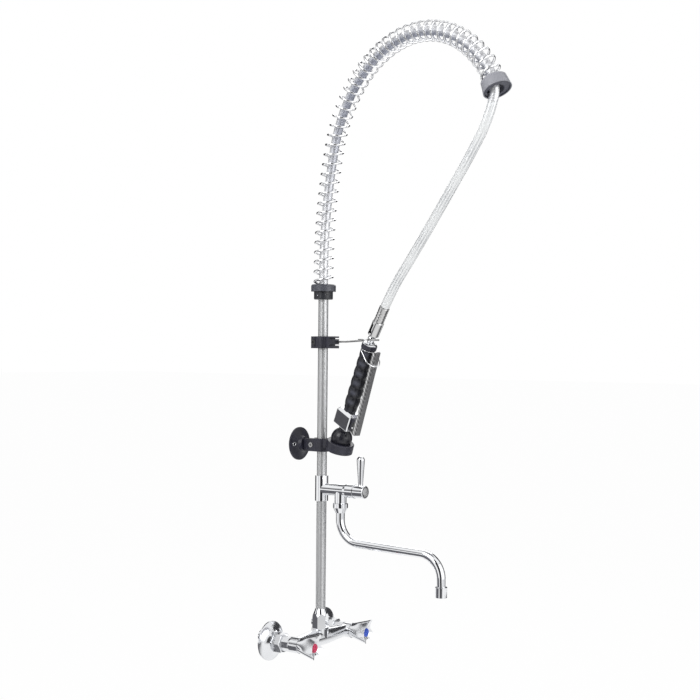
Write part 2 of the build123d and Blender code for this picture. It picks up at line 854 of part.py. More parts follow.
with BuildPart() as aerator_insert:
    with BuildSketch(Plane((0, -riser_out - spout_mouth[0], aerator_foot + 1.5))):
        Circle(aerator_radius - 1.2 - running_gap)
        Circle(0.9, mode=Mode.SUBTRACT)
        for ring, count in ((3.0, 6), (6.0, 12)):
            with PolarLocations(ring, count):
                Circle(0.9, mode=Mode.SUBTRACT)
    extrude(amount=insert_top - aerator_foot - 1.5)
save(aerator_insert.part, "aerator_insert")

# Wall disc of the bracket, drilled for two wall screws
with BuildPart() as wall_disc:
    with BuildSketch(wall_section(0, bracket_level)):
        with BuildLine():
            Polyline((0, 0), (disc_radius, 0), (disc_radius, disc_thick))
            SagittaArc((disc_radius, disc_thick), (disc_boss + 1, disc_crown), 0.7)
            Polyline((disc_boss + 1, disc_crown), (disc_boss, disc_crown + 1), (disc_boss - 1, disc_reach))
            Polyline((disc_boss - 1, disc_reach), (0, disc_reach), (0, 0))
        make_face()
    revolve(axis=Axis((0, 0, bracket_level), (0, -1, 0)))
    with BuildSketch(facing_wall(0, bracket_level, 4)):
        Rectangle(2 * (tongue_half + thread_gap), tongue_height + 2 * thread_gap)
    extrude(amount=disc_reach, mode=Mode.SUBTRACT)
    with BuildSketch(facing_wall(0, bracket_level, 0)):
        with Locations((-disc_hole_spacing / 2, 0), (disc_hole_spacing / 2, 0)):
            Circle(disc_hole)
    extrude(amount=disc_reach, mode=Mode.SUBTRACT)
save(wall_disc.part, "wall_disc")

# Bracket arm: a tongue from the disc into the slot of the clamp
tongue_end = riser_out - riser_radius - 1.5
with BuildPart() as bracket_arm:
    with BuildSketch(facing_wall(0, bracket_level, 4)):
        Rectangle(2 * tongue_half, tongue_height)
    extrude(amount=tongue_end - 4)
    with BuildSketch(Plane(origin=(0, -cheek_screw, bracket_level), x_dir=(0, 1, 0), z_dir=(1, 0, 0))):
        Circle(clamp_screw_radius + thread_gap)
    extrude(amount=tongue_half + 1, both=True, mode=Mode.SUBTRACT)
save(bracket_arm.part, "bracket_arm")


# Riser clamp with two cheeks at its back, pinched by one screw
def riser_clamp(level, height, radius, cheek, slot, reach, screw_out):
    foot = level - height / 2
    with BuildPart() as clamp:
        with BuildSketch(Plane((0, -riser_out, foot))):
            Circle(radius)
            with Locations((0, reach / 2)):
                Rectangle(2 * cheek, reach)
            Circle(riser_radius + running_gap, mode=Mode.SUBTRACT)
            with Locations((0, reach / 2 + 4)):
                Rectangle(2 * slot, reach + 8, mode=Mode.SUBTRACT)
        extrude(amount=height)
        fillet(clamp.edges().filter_by(Axis.Z).group_by(Axis.Y)[-1], clamp_round)
        with BuildSketch(Plane(origin=(0, -screw_out, level), x_dir=(0, 1, 0), z_dir=(1, 0, 0))):
            Circle(clamp_screw_radius + thread_gap)
        extrude(amount=cheek + 1, both=True, mode=Mode.SUBTRACT)
        with BuildSketch(Plane(origin=(-cheek - 4, -screw_out, level), x_dir=(0, 1, 0), z_dir=(1, 0, 0))):
            Circle(clamp_screw_head + thread_gap)
        extrude(amount=6, mode=Mode.SUBTRACT)
    return clamp.part


def clamp_screw(level, cheek, screw_out):
    with BuildPart() as screw:
        with BuildSketch(Plane(origin=(-cheek + 2, -screw_out, level), x_dir=(0, 1, 0), z_dir=(1, 0, 0))):
            Circle(clamp_screw_radius)
        extrude(amount=2 * cheek - 3)
        with BuildSketch(Plane(origin=(-cheek + 2, -screw_out, level), x_dir=(0, 1, 0), z_dir=(1, 0, 0))):
            Circle(clamp_screw_head)
        extrude(amount=-3)
        with BuildSketch(Plane(origin=(-cheek - 1, -screw_out, level), x_dir=(0, 1, 0), z_dir=(1, 0, 0))):
            RegularPolygon(2.2, 6)
        extrude(amount=2, mode=Mode.SUBTRACT)
    return screw.part


bracket_clamp = riser_clamp(
    bracket_level, clamp_height, clamp_radius, cheek_half, tongue_half + thread_gap,
    riser_out - cheek_start, cheek_screw,
)
save(bracket_clamp, "bracket_clamp")
save(clamp_screw(bracket_level, cheek_half, cheek_screw), "bracket_screw")

# Holder ring: leaning ring with a round seat for the ball, carried by a shank on the clamp
holder_section = leaning(ball_out, ball_level, holder_lean)
ring_top = -holder_drop + holder_height / 2
ring_foot = -holder_drop - holder_height / 2
with BuildPart() as holder_ring:
    with BuildSketch(Plane(origin=arm_point(0, bracket_level - 4, 0), x_dir=arm_dir, z_dir=up_dir)):
        with Locations((clamp_radius + 5, 0)):
            Rectangle(22, 15)
        Circle(clamp_radius + running_gap, mode=Mode.SUBTRACT)
    extrude(amount=clamp_height / 2 + 4)
    with BuildSketch(square_to(holder_section, ring_foot)):
        Circle(holder_radius)
    extrude(amount=holder_height - holder_bevel)
    with BuildSketch(square_to(holder_section, ring_top - holder_bevel)):
        Circle(holder_radius)
    extrude(amount=holder_bevel, taper=45)
    with BuildSketch(square_to(holder_section, ring_foot)):
        Circle(holder_throat)
    extrude(amount=holder_height + 20, mode=Mode.SUBTRACT)
    with Locations(arm_point(ball_out, ball_level)):
        Sphere(ball_radius + seat_gap, mode=Mode.SUBTRACT)
save(holder_ring.part, "holder_ring")

# Hook clamp on the riser, with the boss that carries the hook wire
hook_body = riser_clamp(hook_level, hook_height, hook_band, hook_cheek, hook_slot / 2, 21.0, riser_out - 14.5)
with BuildPart() as hook_clamp:
    add(hook_body)
    with BuildSketch(Plane(origin=arm_point(0, hook_level - hook_height / 2), x_dir=arm_dir, z_dir=up_dir)):
        with Locations((hook_band + 8, 1.5)):
            Rectangle(25, 13)
        Circle(hook_band - 1, mode=Mode.SUBTRACT)
    extrude(amount=hook_height)
    for level in (hook_level - 4.5, hook_level + 6.5):
        with BuildSketch(Plane(origin=arm_point(0, level - 1), x_dir=arm_dir, z_dir=up_dir)):
            with Locations((hook_band + 20, 1.5)):
                Rectangle(20, 16)
        extrude(amount=2, mode=Mode.SUBTRACT)
    with BuildSketch(Plane(origin=arm_point(hook_root, hook_level + 1, 3), x_dir=side_dir, z_dir=arm_dir)):
        Circle(hook_wire_radius + running_gap)
    extrude(amount=20, mode=Mode.SUBTRACT)
save(hook_clamp.part, "hook_clamp")
save(clamp_screw(hook_level, hook_cheek, riser_out - 14.5), "hook_screw")

# Hook wire: straight shank, then a bend round the outer side of the gun's neck
with BuildPart() as hook_wire:
    with BuildLine() as hook_path:
        FilletPolyline(
            arm_point(hook_root, hook_level + 1, 3),
            arm_point(hook_bend, hook_level + 1, 3),
            arm_point(hook_loop_out - 16, hook_loop_level, hook_loop),
            arm_point(hook_loop_out, hook_loop_level, hook_loop),
            radius=18,
        )
        ThreePointArc(
            arm_point(hook_loop_out, hook_loop_level, hook_loop),
            arm_point(hook_loop_out + hook_loop, hook_loop_level, 0),
            arm_point(hook_loop_out, hook_loop_level, -hook_loop),
        )
        Line(
            arm_point(hook_loop_out, hook_loop_level, -hook_loop),
            arm_point(hook_loop_out - 7, hook_loop_level, -hook_loop),
        )
    with BuildSketch(Plane(origin=hook_path.line @ 0, z_dir=hook_path.line % 0)):
        Circle(hook_wire_radius)
    sweep()
save(hook_wire.part, "hook_wire")

# Lower ferrule: sleeve on the riser and the cup for the spring
lower_ferrule_blank = turned(
    riser_section,
    (
        (riser_radius + running_gap, ferrule_foot), (ferrule_radius - 1, ferrule_foot),
        (ferrule_radius, ferrule_foot + 1), (ferrule_radius, cup_foot), (cup_radius, cup_foot),
        (cup_radius, cup_top - 1.8), (cup_radius - 1.8, cup_top), (cup_bore, cup_top),
        (cup_bore, cup_floor), (riser_radius + running_gap, cup_floor),
    ),
)
with BuildPart() as lower_ferrule:
    add(lower_ferrule_blank)
    with BuildSketch(Plane(origin=(0, -riser_out, cup_foot - 6.5), x_dir=(0, 0, 1), z_dir=(-1, 0, 0)).offset(riser_radius)):
        Circle(grub_radius + thread_gap)
    extrude(amount=ferrule_radius, mode=Mode.SUBTRACT)
save(lower_ferrule.part, "lower_ferrule")

# Hose nipple in the top of the riser
nipple_in = riser_radius - riser_wall - running_gap
hose_nipple = turned(
    riser_section,
    (
        (3.6, riser_top - 16), (nipple_in, riser_top - 16), (nipple_in, riser_top),
        (riser_radius, riser_top), (riser_radius, riser_top + 3), (hose_bore - running_gap, riser_top + 3),
        (hose_bore - running_gap, riser_top + 22), (3.6, riser_top + 24),
    ),
)
save(hose_nipple, "hose_nipple")


# Centre line of the arch, as a run length along it
def arch_place(run, foot):
    """Distance out, height and heading from upright, in radians, at a run along the arch."""
    out, level, heading = 0.0, foot, 0.0
    straight = straight_top - foot
    if run <= straight:
        return out, level + run, heading
    level += straight
    run -= straight
    for radius, turn in arch_bends:
        length = radius * radians(turn)
        swing = min(run, length) / radius
        out += radius * (cos(heading) - cos(heading + swing))
        level += radius * (sin(heading + swing) - sin(heading))
        heading += swing
        if run <= length:
            return out, level, heading
        run -= length
    return out + run * sin(heading), level + run * cos(heading), heading


hose_foot = riser_top + 3
bends_length = sum(radius * radians(turn) for radius, turn in arch_bends)
spring_foot = cup_floor + wire_radius + seat_gap
spring_length = straight_top - spring_foot + bends_length + arch_tail - collar_web_top - wire_radius - seat_gap
coil_radius = spring_radius - wire_radius


def coil_point(turn):
    """Point on the spring's centre line, a right-handed coil about the arch."""
    out, level, heading = arch_place(spring_length * turn / spring_turns, spring_foot)
    angle = 2 * pi * turn
    lift = coil_radius * cos(angle)
    return arm_point(out + lift * cos(heading), level - lift * sin(heading), coil_radius * sin(angle))


def coil_heading(turn):
    step = 1e-4
    return (coil_point(min(turn + step, spring_turns)) - coil_point(max(turn - step, 0))).normalized()


# Spring: one wire, swept along pairs of tangent arcs, one pair for each half turn
with BuildPart() as spring:
    with BuildLine():
        for half in range(2 * spring_turns):
            start, end = coil_point(half / 2), coil_point((half + 1) / 2)
            away, home = coil_heading(half / 2), coil_heading((half + 1) / 2)
            chord = end - start
            spread = 2 - 2 * away.dot(home)
            skew = chord.dot(away + home)
            reach = (sqrt(skew**2 + spread * chord.dot(chord)) - skew) / spread
            knee, knee_home = start + away * reach, end - home * reach
            middle = (knee + knee_home) / 2
            TangentArc(start, middle, tangent=away)
            TangentArc(middle, end, tangent=knee_home - knee)
    with BuildSketch(Plane(origin=coil_point(0), z_dir=coil_heading(0))):
        Circle(wire_radius)
    sweep()
save(spring.part, "spring")

samples = 24
coil = [coil_point(step / samples) for step in range(spring_turns * samples + 1)]
least_gap = min(
    (coil[first] - coil[second]).length
    for first in range(len(coil))
    for second in range(first + samples * 2 // 3, min(first + samples * 4 // 3, len(coil)))
)
print(f"spring: {spring_turns} turns, least gap to itself {least_gap - 2 * wire_radius:.2f} mm")

# Hose inside the spring, whole from the nipple to its way out of the collar, where it turns down
hose_points = [arm_point(*place) for place in hose_route]
with BuildPart() as hose_in_spring:
    with BuildLine():
        start = arm_point(0, hose_foot)
        end = arm_point(0, straight_top)
        Line(start, end)
        run = straight_top - hose_foot
        for radius, turn in arch_bends:
            length = radius * radians(turn)
            middle_place = arch_place(run + length / 2, hose_foot)
            end_place = arch_place(run + length, hose_foot)
            ThreePointArc(end, arm_point(*middle_place[:2]), arm_point(*end_place[:2]))
            end = arm_point(*end_place[:2])
            run += length
        leave_place = arch_place(run + hose_leave, hose_foot)
        Line(end, arm_point(*leave_place[:2]))
        axis_end = arm_dir * sin(leave_place[2]) + up_dir * cos(leave_place[2])
        way_out = TangentArc(arm_point(*leave_place[:2]), hose_points[0], tangent=axis_end)
    with BuildSketch(Plane(origin=start, z_dir=up_dir)):
        Circle(hose_radius)
        Circle(hose_bore, mode=Mode.SUBTRACT)
    sweep()
save(hose_in_spring.part, "hose_in_spring")
meeting = (way_out % 1).get_angle(hose_points[1] - hose_points[0])
print(f"hose turns down at radius {way_out.radius:.1f}, and meets the free hose within {meeting:.2f} degrees")

# Upper collar: a cone round the end of the spring, with a hole in its floor that lets the hose out
collar_place = arch_place(straight_top - hose_foot + bends_length + arch_tail, hose_foot)
collar_section = leaning(collar_place[0], collar_place[1], degrees(collar_place[2]))
collar_bore = spring_radius + seat_gap
collar_blank = turned(
    collar_section,
    (
        (0, -collar_web_top), (collar_bore, -collar_web_top), (collar_bore, -collar_length),
        (collar_top_radius, -collar_length), (collar_foot_radius, 0), (collar_foot_radius - collar_lip, 0),
        (collar_foot_radius - collar_lip, -collar_web_foot), (0, -collar_web_foot),
    ),
)
with BuildPart() as upper_collar:
    add(collar_blank)
    with BuildSketch(square_to(collar_section, -collar_web_top)):
        with Locations((collar_hole_shift, 0)):
            Circle(collar_hole)
    extrude(amount=collar_web_top, mode=Mode.SUBTRACT)
save(upper_collar.part, "upper_collar")

# Free hose, on tangent arcs as large as its runs allow
runs = [(b - a) for a, b in zip(hose_points, hose_points[1:])]
hose_radii = [
    0.45 * min(a.length, b.length) / tan(radians(a.get_angle(b)) / 2) for a, b in zip(runs, runs[1:])
]
print("hose radii", [round(radius) for radius in hose_radii], "runs", [round(run.length, 1) for run in runs])
with BuildPart() as free_hose:
    with BuildLine() as hose_path:
        FilletPolyline(*hose_points, radius=hose_radii)
    with BuildSketch(Plane(origin=hose_points[0], z_dir=runs[0])):
        Circle(hose_radius)
    sweep()
hose_length = sum(edge.length for edge in hose_path.edges())
hose_share = free_hose.part.volume / (pi * hose_radius**2 * hose_length)
print(f"free hose {hose_length:.1f} mm long, volume over section by length {hose_share:.4f}")
save(free_hose.part, "free_hose")

# Crimp ferrule and coupling nut, on the hose's own axis
hose_end = hose_route[-1]
hose_before = hose_route[-2]
hose_lean = degrees(atan2(hose_before[0] - hose_end[0], hose_before[1] - hose_end[1]))
joint_drop = 55.0
joint_out = hose_end[0] - joint_drop * sin(radians(hose_lean))
joint_level = hose_end[1] - joint_drop * cos(radians(hose_lean))
joint_section = leaning(joint_out, joint_level, hose_lean)
coupling_end = coupling_start + coupling_length
print("hose joint", round(joint_out, 2), round(joint_level, 2), "lean", round(hose_lean, 2))
crimp_blank = turned(
    joint_section,
    (
        (3.5, coupling_end), (crimp_radius - 0.6, coupling_end), (crimp_radius, coupling_end + 0.6),
        (crimp_radius, joint_drop + 5), (crimp_radius - 0.6, joint_drop + 5.6),
        (hose_radius + 0.3, joint_drop + 5.6), (hose_radius + 0.3, joint_drop), (3.5, joint_drop),
    ),
)
with BuildPart() as crimp_ferrule:
    add(crimp_blank)
    for level in (coupling_end + 7, coupling_end + 12, coupling_end + 17):
        with BuildSketch(square_to(joint_section, level)):
            Circle(crimp_radius + 1)
            Circle(crimp_radius - 0.5, mode=Mode.SUBTRACT)
        extrude(amount=1.2, mode=Mode.SUBTRACT)
save(crimp_ferrule.part, "crimp_ferrule")

with BuildPart() as coupling_nut:
    with BuildSketch(square_to(joint_section, coupling_start)):
        Circle(coupling_radius)
    extrude(amount=coupling_length)
    chamfer(coupling_nut.edges().filter_by(GeomType.CIRCLE), 0.8)
    with BuildSketch(square_to(joint_section, coupling_start)):
        Circle(3.5)
    extrude(amount=coupling_length, mode=Mode.SUBTRACT)
    with BuildSketch(Plane(origin=joint_section.origin, x_dir=joint_section.y_dir, z_dir=-side_dir).offset(6.5)):
        with Locations((coupling_start + 14, 0)):
            Rectangle(14, 3)
        with Locations((coupling_start + 7, 0)):
            Circle(3)
    extrude(amount=4, mode=Mode.SUBTRACT)
save(coupling_nut.part, "coupling_nut")

# Gun sections
gun_section = leaning(ball_out, ball_level, gun_lean)

# Water tube of the gun: from the head up through grip and cap to the ball under the coupling
tube_foot = head_top - 6
joint_height = (arm_point(joint_out, joint_level) - gun_section.origin).dot(gun_section.y_dir)
with BuildPart() as gun_neck:
    with BuildSketch(square_to(gun_section, tube_foot)):
        Circle(neck_radius)
    extrude(amount=joint_height - tube_foot)
    with Locations(arm_point(joint_out, joint_level)):
        Sphere(neck_radius + 0.9)
    with BuildSketch(square_to(joint_section)):
        Circle(neck_radius)
    extrude(amount=coupling_start)
    with BuildSketch(square_to(gun_section, tube_foot)):
        Circle(neck_bore)
    extrude(amount=joint_height - tube_foot, mode=Mode.SUBTRACT)
    with BuildSketch(square_to(joint_section)):
        Circle(neck_bore)
    extrude(amount=coupling_start, mode=Mode.SUBTRACT)
save(gun_neck.part, "gun_neck")

tube_fit = neck_radius + running_gap
gun_cap = turned(
    gun_section,
    (
        (tube_fit, grip_top), (cap_radius - 0.8, grip_top), (cap_radius, grip_top + 0.8),
        (cap_radius, cap_shoulder), (cap_throat, cap_top), (tube_fit, cap_top),
    ),
)
save(gun_cap, "gun_cap")

# Grip: round, with finger ribs, plain at both ends, drilled for the ends of the wire bail
rib_end = rib_start + grip_ribs * rib_length
with BuildPart() as gun_grip:
    with BuildSketch(gun_section):
        with BuildLine():
            Polyline((tube_fit, head_crown), (grip_foot_radius, head_crown), (grip_valley, rib_start))
            for rib in range(grip_ribs):
                foot = rib_start + rib * rib_length
                SagittaArc((grip_valley, foot), (grip_valley, foot + rib_length), -rib_height)
            Polyline(
                (grip_valley, rib_end), (grip_top_radius, rib_end + 4), (grip_top_radius, grip_top),
                (tube_fit, grip_top), (tube_fit, head_crown),
            )
        make_face()
    revolve(axis=Axis(gun_section.origin, gun_section.y_dir))
    for way in (-1, 1):
        with BuildSketch(
            Plane(
                origin=gun_section.origin + gun_section.y_dir * bail_level + side_dir * way * (bail_pin_end - seat_gap),
                x_dir=gun_section.x_dir, z_dir=side_dir * way,
            )
        ):
            Circle(bail_radius + running_gap)
        extrude(amount=grip_top_radius, mode=Mode.SUBTRACT)
save(gun_grip.part, "gun_grip")

# Valve head: bevelled block with a shallow recess for a panel on each side
with BuildPart() as gun_head:
    with BuildSketch(square_to(gun_section, head_foot)):
        RectangleRounded(2 * head_half_length, 2 * head_half_width, 2.5)
    extrude(amount=head_top - head_foot)
    with BuildSketch(square_to(gun_section, head_top)):
        RectangleRounded(2 * head_half_length, 2 * head_half_width, 2.5)
    with BuildSketch(square_to(gun_section, head_crown)):
        RectangleRounded(2 * (head_half_length - head_bevel), 2 * (head_half_width - head_bevel), 2)
    loft()
    with BuildSketch(square_to(gun_section, tube_foot)):
        Circle(tube_fit)
    extrude(amount=head_crown - tube_foot, mode=Mode.SUBTRACT)
    with BuildSketch(square_to(gun_section, head_foot)):
        Circle(4)
    extrude(amount=head_crown - head_foot, mode=Mode.SUBTRACT)
    for way in (-1, 1):
        with BuildSketch(
            Plane(origin=gun_section.origin, x_dir=gun_section.x_dir, z_dir=side_dir * way).offset(
                head_half_width - panel_thick
            )
        ):
            with Locations((0, -way * (head_foot + head_top) / 2)):
                Rectangle(
                    2 * (head_half_length - panel_margin), head_top - head_foot - panel_margin, mode=Mode.ADD
                )
        extrude(amount=panel_thick + 1, mode=Mode.SUBTRACT)
save(gun_head.part, "gun_head")

with BuildPart() as head_panels:
    for way in (-1, 1):
        with BuildSketch(
            Plane(origin=gun_section.origin, x_dir=gun_section.x_dir, z_dir=side_dir * way).offset(
                head_half_width - panel_thick
            )
        ):
            with Locations((0, -way * (head_foot + head_top) / 2)):
                Rectangle(
                    2 * (head_half_length - panel_margin - thread_gap),
                    head_top - head_foot - panel_margin - 2 * thread_gap,
                )
        extrude(amount=panel_thick + 0.6)
save(head_panels.part, "head_panels")

# Lever bracket: black rounded nose on the front of the head, with the pin hole and the stem bore
side_plane = Plane(origin=gun_section.origin, x_dir=gun_section.x_dir, z_dir=-side_dir)
with BuildPart() as lever_bracket:
    with BuildSketch(side_plane):
        with BuildLine():
            Polyline(
                (head_half_length, head_top), (head_half_length, head_foot + 1.5),
                (mount_reach - 7, head_foot + 1.5),
            )
            TangentArc((mount_reach - 7, head_foot + 1.5), (mount_reach, head_foot + 8.5), tangent=(1, 0))
            Polyline(
                (mount_reach, head_foot + 8.5), (mount_reach - 1.5, head_top - 2),
                (mount_reach - 4, head_top), (head_half_length, head_top),
            )
        make_face()
    extrude(amount=mount_half_width, both=True)
    with BuildSketch(side_plane):
        with Locations((pin_out, pin_level)):
            Circle(pin_radius + running_gap)
    extrude(amount=mount_half_width + 1, both=True, mode=Mode.SUBTRACT)
    with BuildSketch(
        Plane(
            origin=gun_section.origin + gun_section.y_dir * stem_level + gun_section.x_dir * (mount_reach - 7.5),
            x_dir=side_dir, z_dir=gun_section.x_dir,
        )
    ):
        Circle(stem_radius + 0.5)
    extrude(amount=10, mode=Mode.SUBTRACT)
save(lever_bracket.part, "lever_bracket")

with BuildPart() as lever_pin:
    with BuildSketch(side_plane):
        with Locations((pin_out, pin_level)):
            Circle(pin_radius)
    extrude(amount=lever_half_width + 0.8, both=True)
save(lever_pin.part, "lever_pin")

# Squeeze lever: a channel of bent sheet with two ears on the pin
lever_rise = (Vector(*lever_high) - Vector(*lever_low)).normalized()
lever_in = Vector(-lever_rise.Y, lever_rise.X)


def lever_corner(end, depth, along=0.0):
    """Corner of the lever's side outline: depth in from the outer face, and a shift along it."""
    return Vector(*end) + lever_in * depth + lever_rise * along


with BuildPart() as squeeze_lever:
    with BuildSketch(side_plane):
        with BuildLine():
            Polyline(
                lever_corner(lever_low, 0), lever_corner(lever_high, 0), lever_corner(lever_high, lever_flange),
                lever_corner(lever_low, lever_flange, lever_ear_run),
                lever_corner(lever_low, lever_ear, lever_ear_crest),
                lever_corner(lever_low, lever_ear, 4), lever_corner(lever_low, lever_flange, 0), close=True,
            )
        make_face()
    extrude(amount=lever_half_width, both=True)
    fillet(squeeze_lever.edges().filter_by(Axis(gun_section.origin, side_dir)).sort_by(Axis.Z)[-1], 3)
    with BuildSketch(side_plane):
        with BuildLine():
            Polyline(
                lever_corner(lever_low, lever_sheet, -5), lever_corner(lever_high, lever_sheet, 5),
                lever_corner(lever_high, lever_ear + 2, 5), lever_corner(lever_low, lever_ear + 2, -5), close=True,
            )
        make_face()
    extrude(amount=lever_half_width - lever_sheet, both=True, mode=Mode.SUBTRACT)
    with BuildSketch(side_plane):
        with Locations((pin_out, pin_level)):
            Circle(pin_radius + running_gap)
    extrude(amount=lever_half_width + 1, both=True, mode=Mode.SUBTRACT)
save(squeeze_lever.part, "squeeze_lever")

# Valve stem: rides on the lever's web and dips into the bracket's bore
lever_slope = (lever_high[0] - lever_low[0]) / (lever_high[1] - lever_low[1])
stem_root = lever_low[0] + (stem_level - lever_low[1]) * lever_slope - lever_sheet - 0.25
stem_length = stem_root - mount_reach + 5
with BuildPart() as valve_stem:
    with BuildSketch(
        Plane(
            origin=gun_section.origin + gun_section.y_dir * stem_level + gun_section.x_dir * (stem_root - stem_length),
            x_dir=side_dir, z_dir=gun_section.x_dir,
        )
    ):
        Circle(stem_radius)
    extrude(amount=stem_length)
save(valve_stem.part, "valve_stem")

# Hold ring: a wire bail hinged in the top of the grip, that rests over the lever
bail_sag = bail_half_width - sqrt(bail_half_width**2 - lever_half_width**2)
lever_face = lever_low[0] + (bail_cross_level - lever_low[1]) * lever_slope
bail_cross = lever_face + bail_sag + bail_radius + seat_gap
bail_reach = hypot(bail_cross, bail_level - bail_cross_level)
bail_droop = degrees(atan2(bail_level - bail_cross_level, bail_cross))
bail_across = gun_section.x_dir * cos(radians(bail_droop)) - gun_section.y_dir * sin(radians(bail_droop))
bail_origin = gun_section.origin + gun_section.y_dir * bail_level


def bail_point(reach, side):
    return bail_origin + bail_across * reach + side_dir * side


bail_leg = bail_reach - bail_half_width
with BuildPart() as hold_ring:
    with BuildLine() as bail_path:
        FilletPolyline(
            bail_point(0, -bail_pin_end), bail_point(0, -bail_half_width), bail_point(bail_leg, -bail_half_width),
            radius=bail_corner,
        )
        ThreePointArc(
            bail_point(bail_leg, -bail_half_width), bail_point(bail_reach, 0),
            bail_point(bail_leg, bail_half_width),
        )
        FilletPolyline(
            bail_point(bail_leg, bail_half_width), bail_point(0, bail_half_width), bail_point(0, bail_pin_end),
            radius=bail_corner,
        )
    with BuildSketch(Plane(origin=bail_path.line @ 0, z_dir=bail_path.line % 0)):
        Circle(bail_radius)
    sweep()
save(hold_ring.part, "hold_ring")

# Spray bell: a hollow ball that sits in the holder ring, with the nozzle plate in its mouth
mouth_edge = sqrt(ball_radius**2 - mouth_depth**2)
shoulder_level = sqrt(ball_radius**2 - ball_neck**2)
with BuildPart() as spray_bell:
    with BuildSketch(gun_section):
        with BuildLine():
            Polyline((4, head_foot), (ball_neck, head_foot), (ball_neck, shoulder_level))
            ThreePointArc((ball_neck, shoulder_level), (ball_radius, 0), (mouth_edge, -mouth_depth))
            Polyline(
                (mouth_edge, -mouth_depth), (mouth_radius, -mouth_depth),
                (mouth_radius, -mouth_depth + plate_thick), (mouth_radius - 1, -mouth_depth + plate_thick),
                (mouth_radius - 1, 2), (4, 8), (4, head_foot),
            )
        make_face()
    revolve(axis=Axis(gun_section.origin, gun_section.y_dir))
save(spray_bell.part, "spray_bell")

with BuildPart() as nozzle_plate:
    with BuildSketch(square_to(gun_section, -mouth_depth)):
        Circle(mouth_radius - running_gap)
        Circle(0.8, mode=Mode.SUBTRACT)
        for ring, count in ((3.4, 6), (6.8, 12)):
            with PolarLocations(ring, count):
                Circle(0.8, mode=Mode.SUBTRACT)
    extrude(amount=plate_thick)
save(nozzle_plate.part, "nozzle_plate")
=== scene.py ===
"""Pre-rinse faucet: finishes, spring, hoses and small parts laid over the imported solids."""

from math import cos, radians, sin

import bpy
import numpy as np
from mathutils import Matrix, Vector


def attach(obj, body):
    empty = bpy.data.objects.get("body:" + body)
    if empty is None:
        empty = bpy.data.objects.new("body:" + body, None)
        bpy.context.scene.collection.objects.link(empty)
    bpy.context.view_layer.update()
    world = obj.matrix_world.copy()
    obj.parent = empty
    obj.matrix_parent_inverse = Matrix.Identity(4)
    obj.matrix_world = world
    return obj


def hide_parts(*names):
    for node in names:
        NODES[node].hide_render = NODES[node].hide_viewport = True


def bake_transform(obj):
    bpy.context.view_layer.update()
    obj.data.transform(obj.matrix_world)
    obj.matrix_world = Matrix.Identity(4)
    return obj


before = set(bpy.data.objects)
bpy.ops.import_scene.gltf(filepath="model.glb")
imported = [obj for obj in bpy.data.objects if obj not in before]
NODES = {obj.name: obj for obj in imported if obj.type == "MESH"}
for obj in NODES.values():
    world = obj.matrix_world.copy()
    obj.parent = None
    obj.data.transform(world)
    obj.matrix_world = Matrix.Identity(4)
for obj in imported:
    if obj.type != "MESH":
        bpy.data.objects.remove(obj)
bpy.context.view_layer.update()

bl_info = {
    "name": "Pre-rinse Faucet",
    "version": (1, 0, 0),
    "blender": (4, 5, 0),
    "location": "3D View > Sidebar > Faucet",
    "description": "Spring, hoses, trim and finishes of a wall-mounted pre-rinse faucet",
    "category": "Object",
}

# Directions: of the plane in which arch, hose and gun lie, up, along the wall and into the room
ARM_TURN = radians(17.0)
ARM = np.array([-sin(ARM_TURN), -cos(ARM_TURN), 0.0])
SIDE = np.array([cos(ARM_TURN), -sin(ARM_TURN), 0.0])
UP = np.array([0.0, 0.0, 1.0])
ACROSS = np.array([1.0, 0.0, 0.0])
ROOM = np.array([0.0, -1.0, 0.0])
RISER = np.array([0.0, -0.05, 0.0])

# Arch of the spring: height of its straight foot's end, bends as radius and turn, straight tail
STRAIGHT_TOP = 0.6187
BENDS = ((0.800, 15.36), (0.212, 124.64), (0.090, 12.0))
BENDS_LENGTH = sum(radius * radians(turn) for radius, turn in BENDS)
TAIL = 0.031

# Spring: its wire, its foot, and its length up to the web that closes the collar, less a gap
WIRE_RADIUS = 0.002
SEAT_GAP = 0.0003
COLLAR_WEB = 0.006
SPRING_FOOT = 0.5923
SPRING_LENGTH = (
    STRAIGHT_TOP - SPRING_FOOT + BENDS_LENGTH + TAIL - COLLAR_WEB - WIRE_RADIUS - SEAT_GAP
)

# Hose inside the spring: its foot, how far it goes straight on past the bends, and its radius
HOSE_FOOT = 0.583
HOSE_LEAVE = 0.007
HOSE_RADIUS = 0.0075

# Upper collar: outside radius at its foot, and how much it narrows for each metre of its length
COLLAR_RADIUS = 0.02235
COLLAR_TAPER = 0.1306

# Lower ferrule: level at which its grey cup meets its black sleeve
FERRULE_SPLIT = 0.5860

# Free hose: distance out from the riser and height of each point of its route
HOSE_ROUTE = (
    (0.4111, 0.8536),
    (0.4002, 0.8266),
    (0.3770, 0.7945),
    (0.3300, 0.7403),
    (0.2405, 0.6415),
    (0.1860, 0.5860),
    (0.1630, 0.5510),
)

# Gun: ball centre and lean
BALL = RISER + ARM * 0.0549 + UP * 0.3382
LEAN = radians(25.0)
GUN_UP = ARM * sin(LEAN) + UP * cos(LEAN)
GUN_OUT = ARM * cos(LEAN) - UP * sin(LEAN)

# Grip: radius of its crests, start and length of its ribs along the gun, side on which a highlight is
# painted
GRIP_RADIUS = 0.0122
RIB_START = 0.062
RIB_LENGTH = 0.0175
HIGHLIGHT_SIDE = np.array([-0.942, -0.241, -0.235])

# Squeeze lever: its run, its outward normal, distance of its outer face from the ball, half its width,
# and depth under that face at which its ears begin
LEVER_RUN = -0.0712 * GUN_OUT + 0.9975 * GUN_UP
LEVER_OUT = 0.9975 * GUN_OUT + 0.0712 * GUN_UP
LEVER_FACE = 0.03655
LEVER_HALF = 0.00625
EAR_DEPTH = 0.0052

# Its ribs: metres between them, and how far they shift along it for each metre outward
RIB_PITCH = 0.007
RIB_SLANT = 0.74

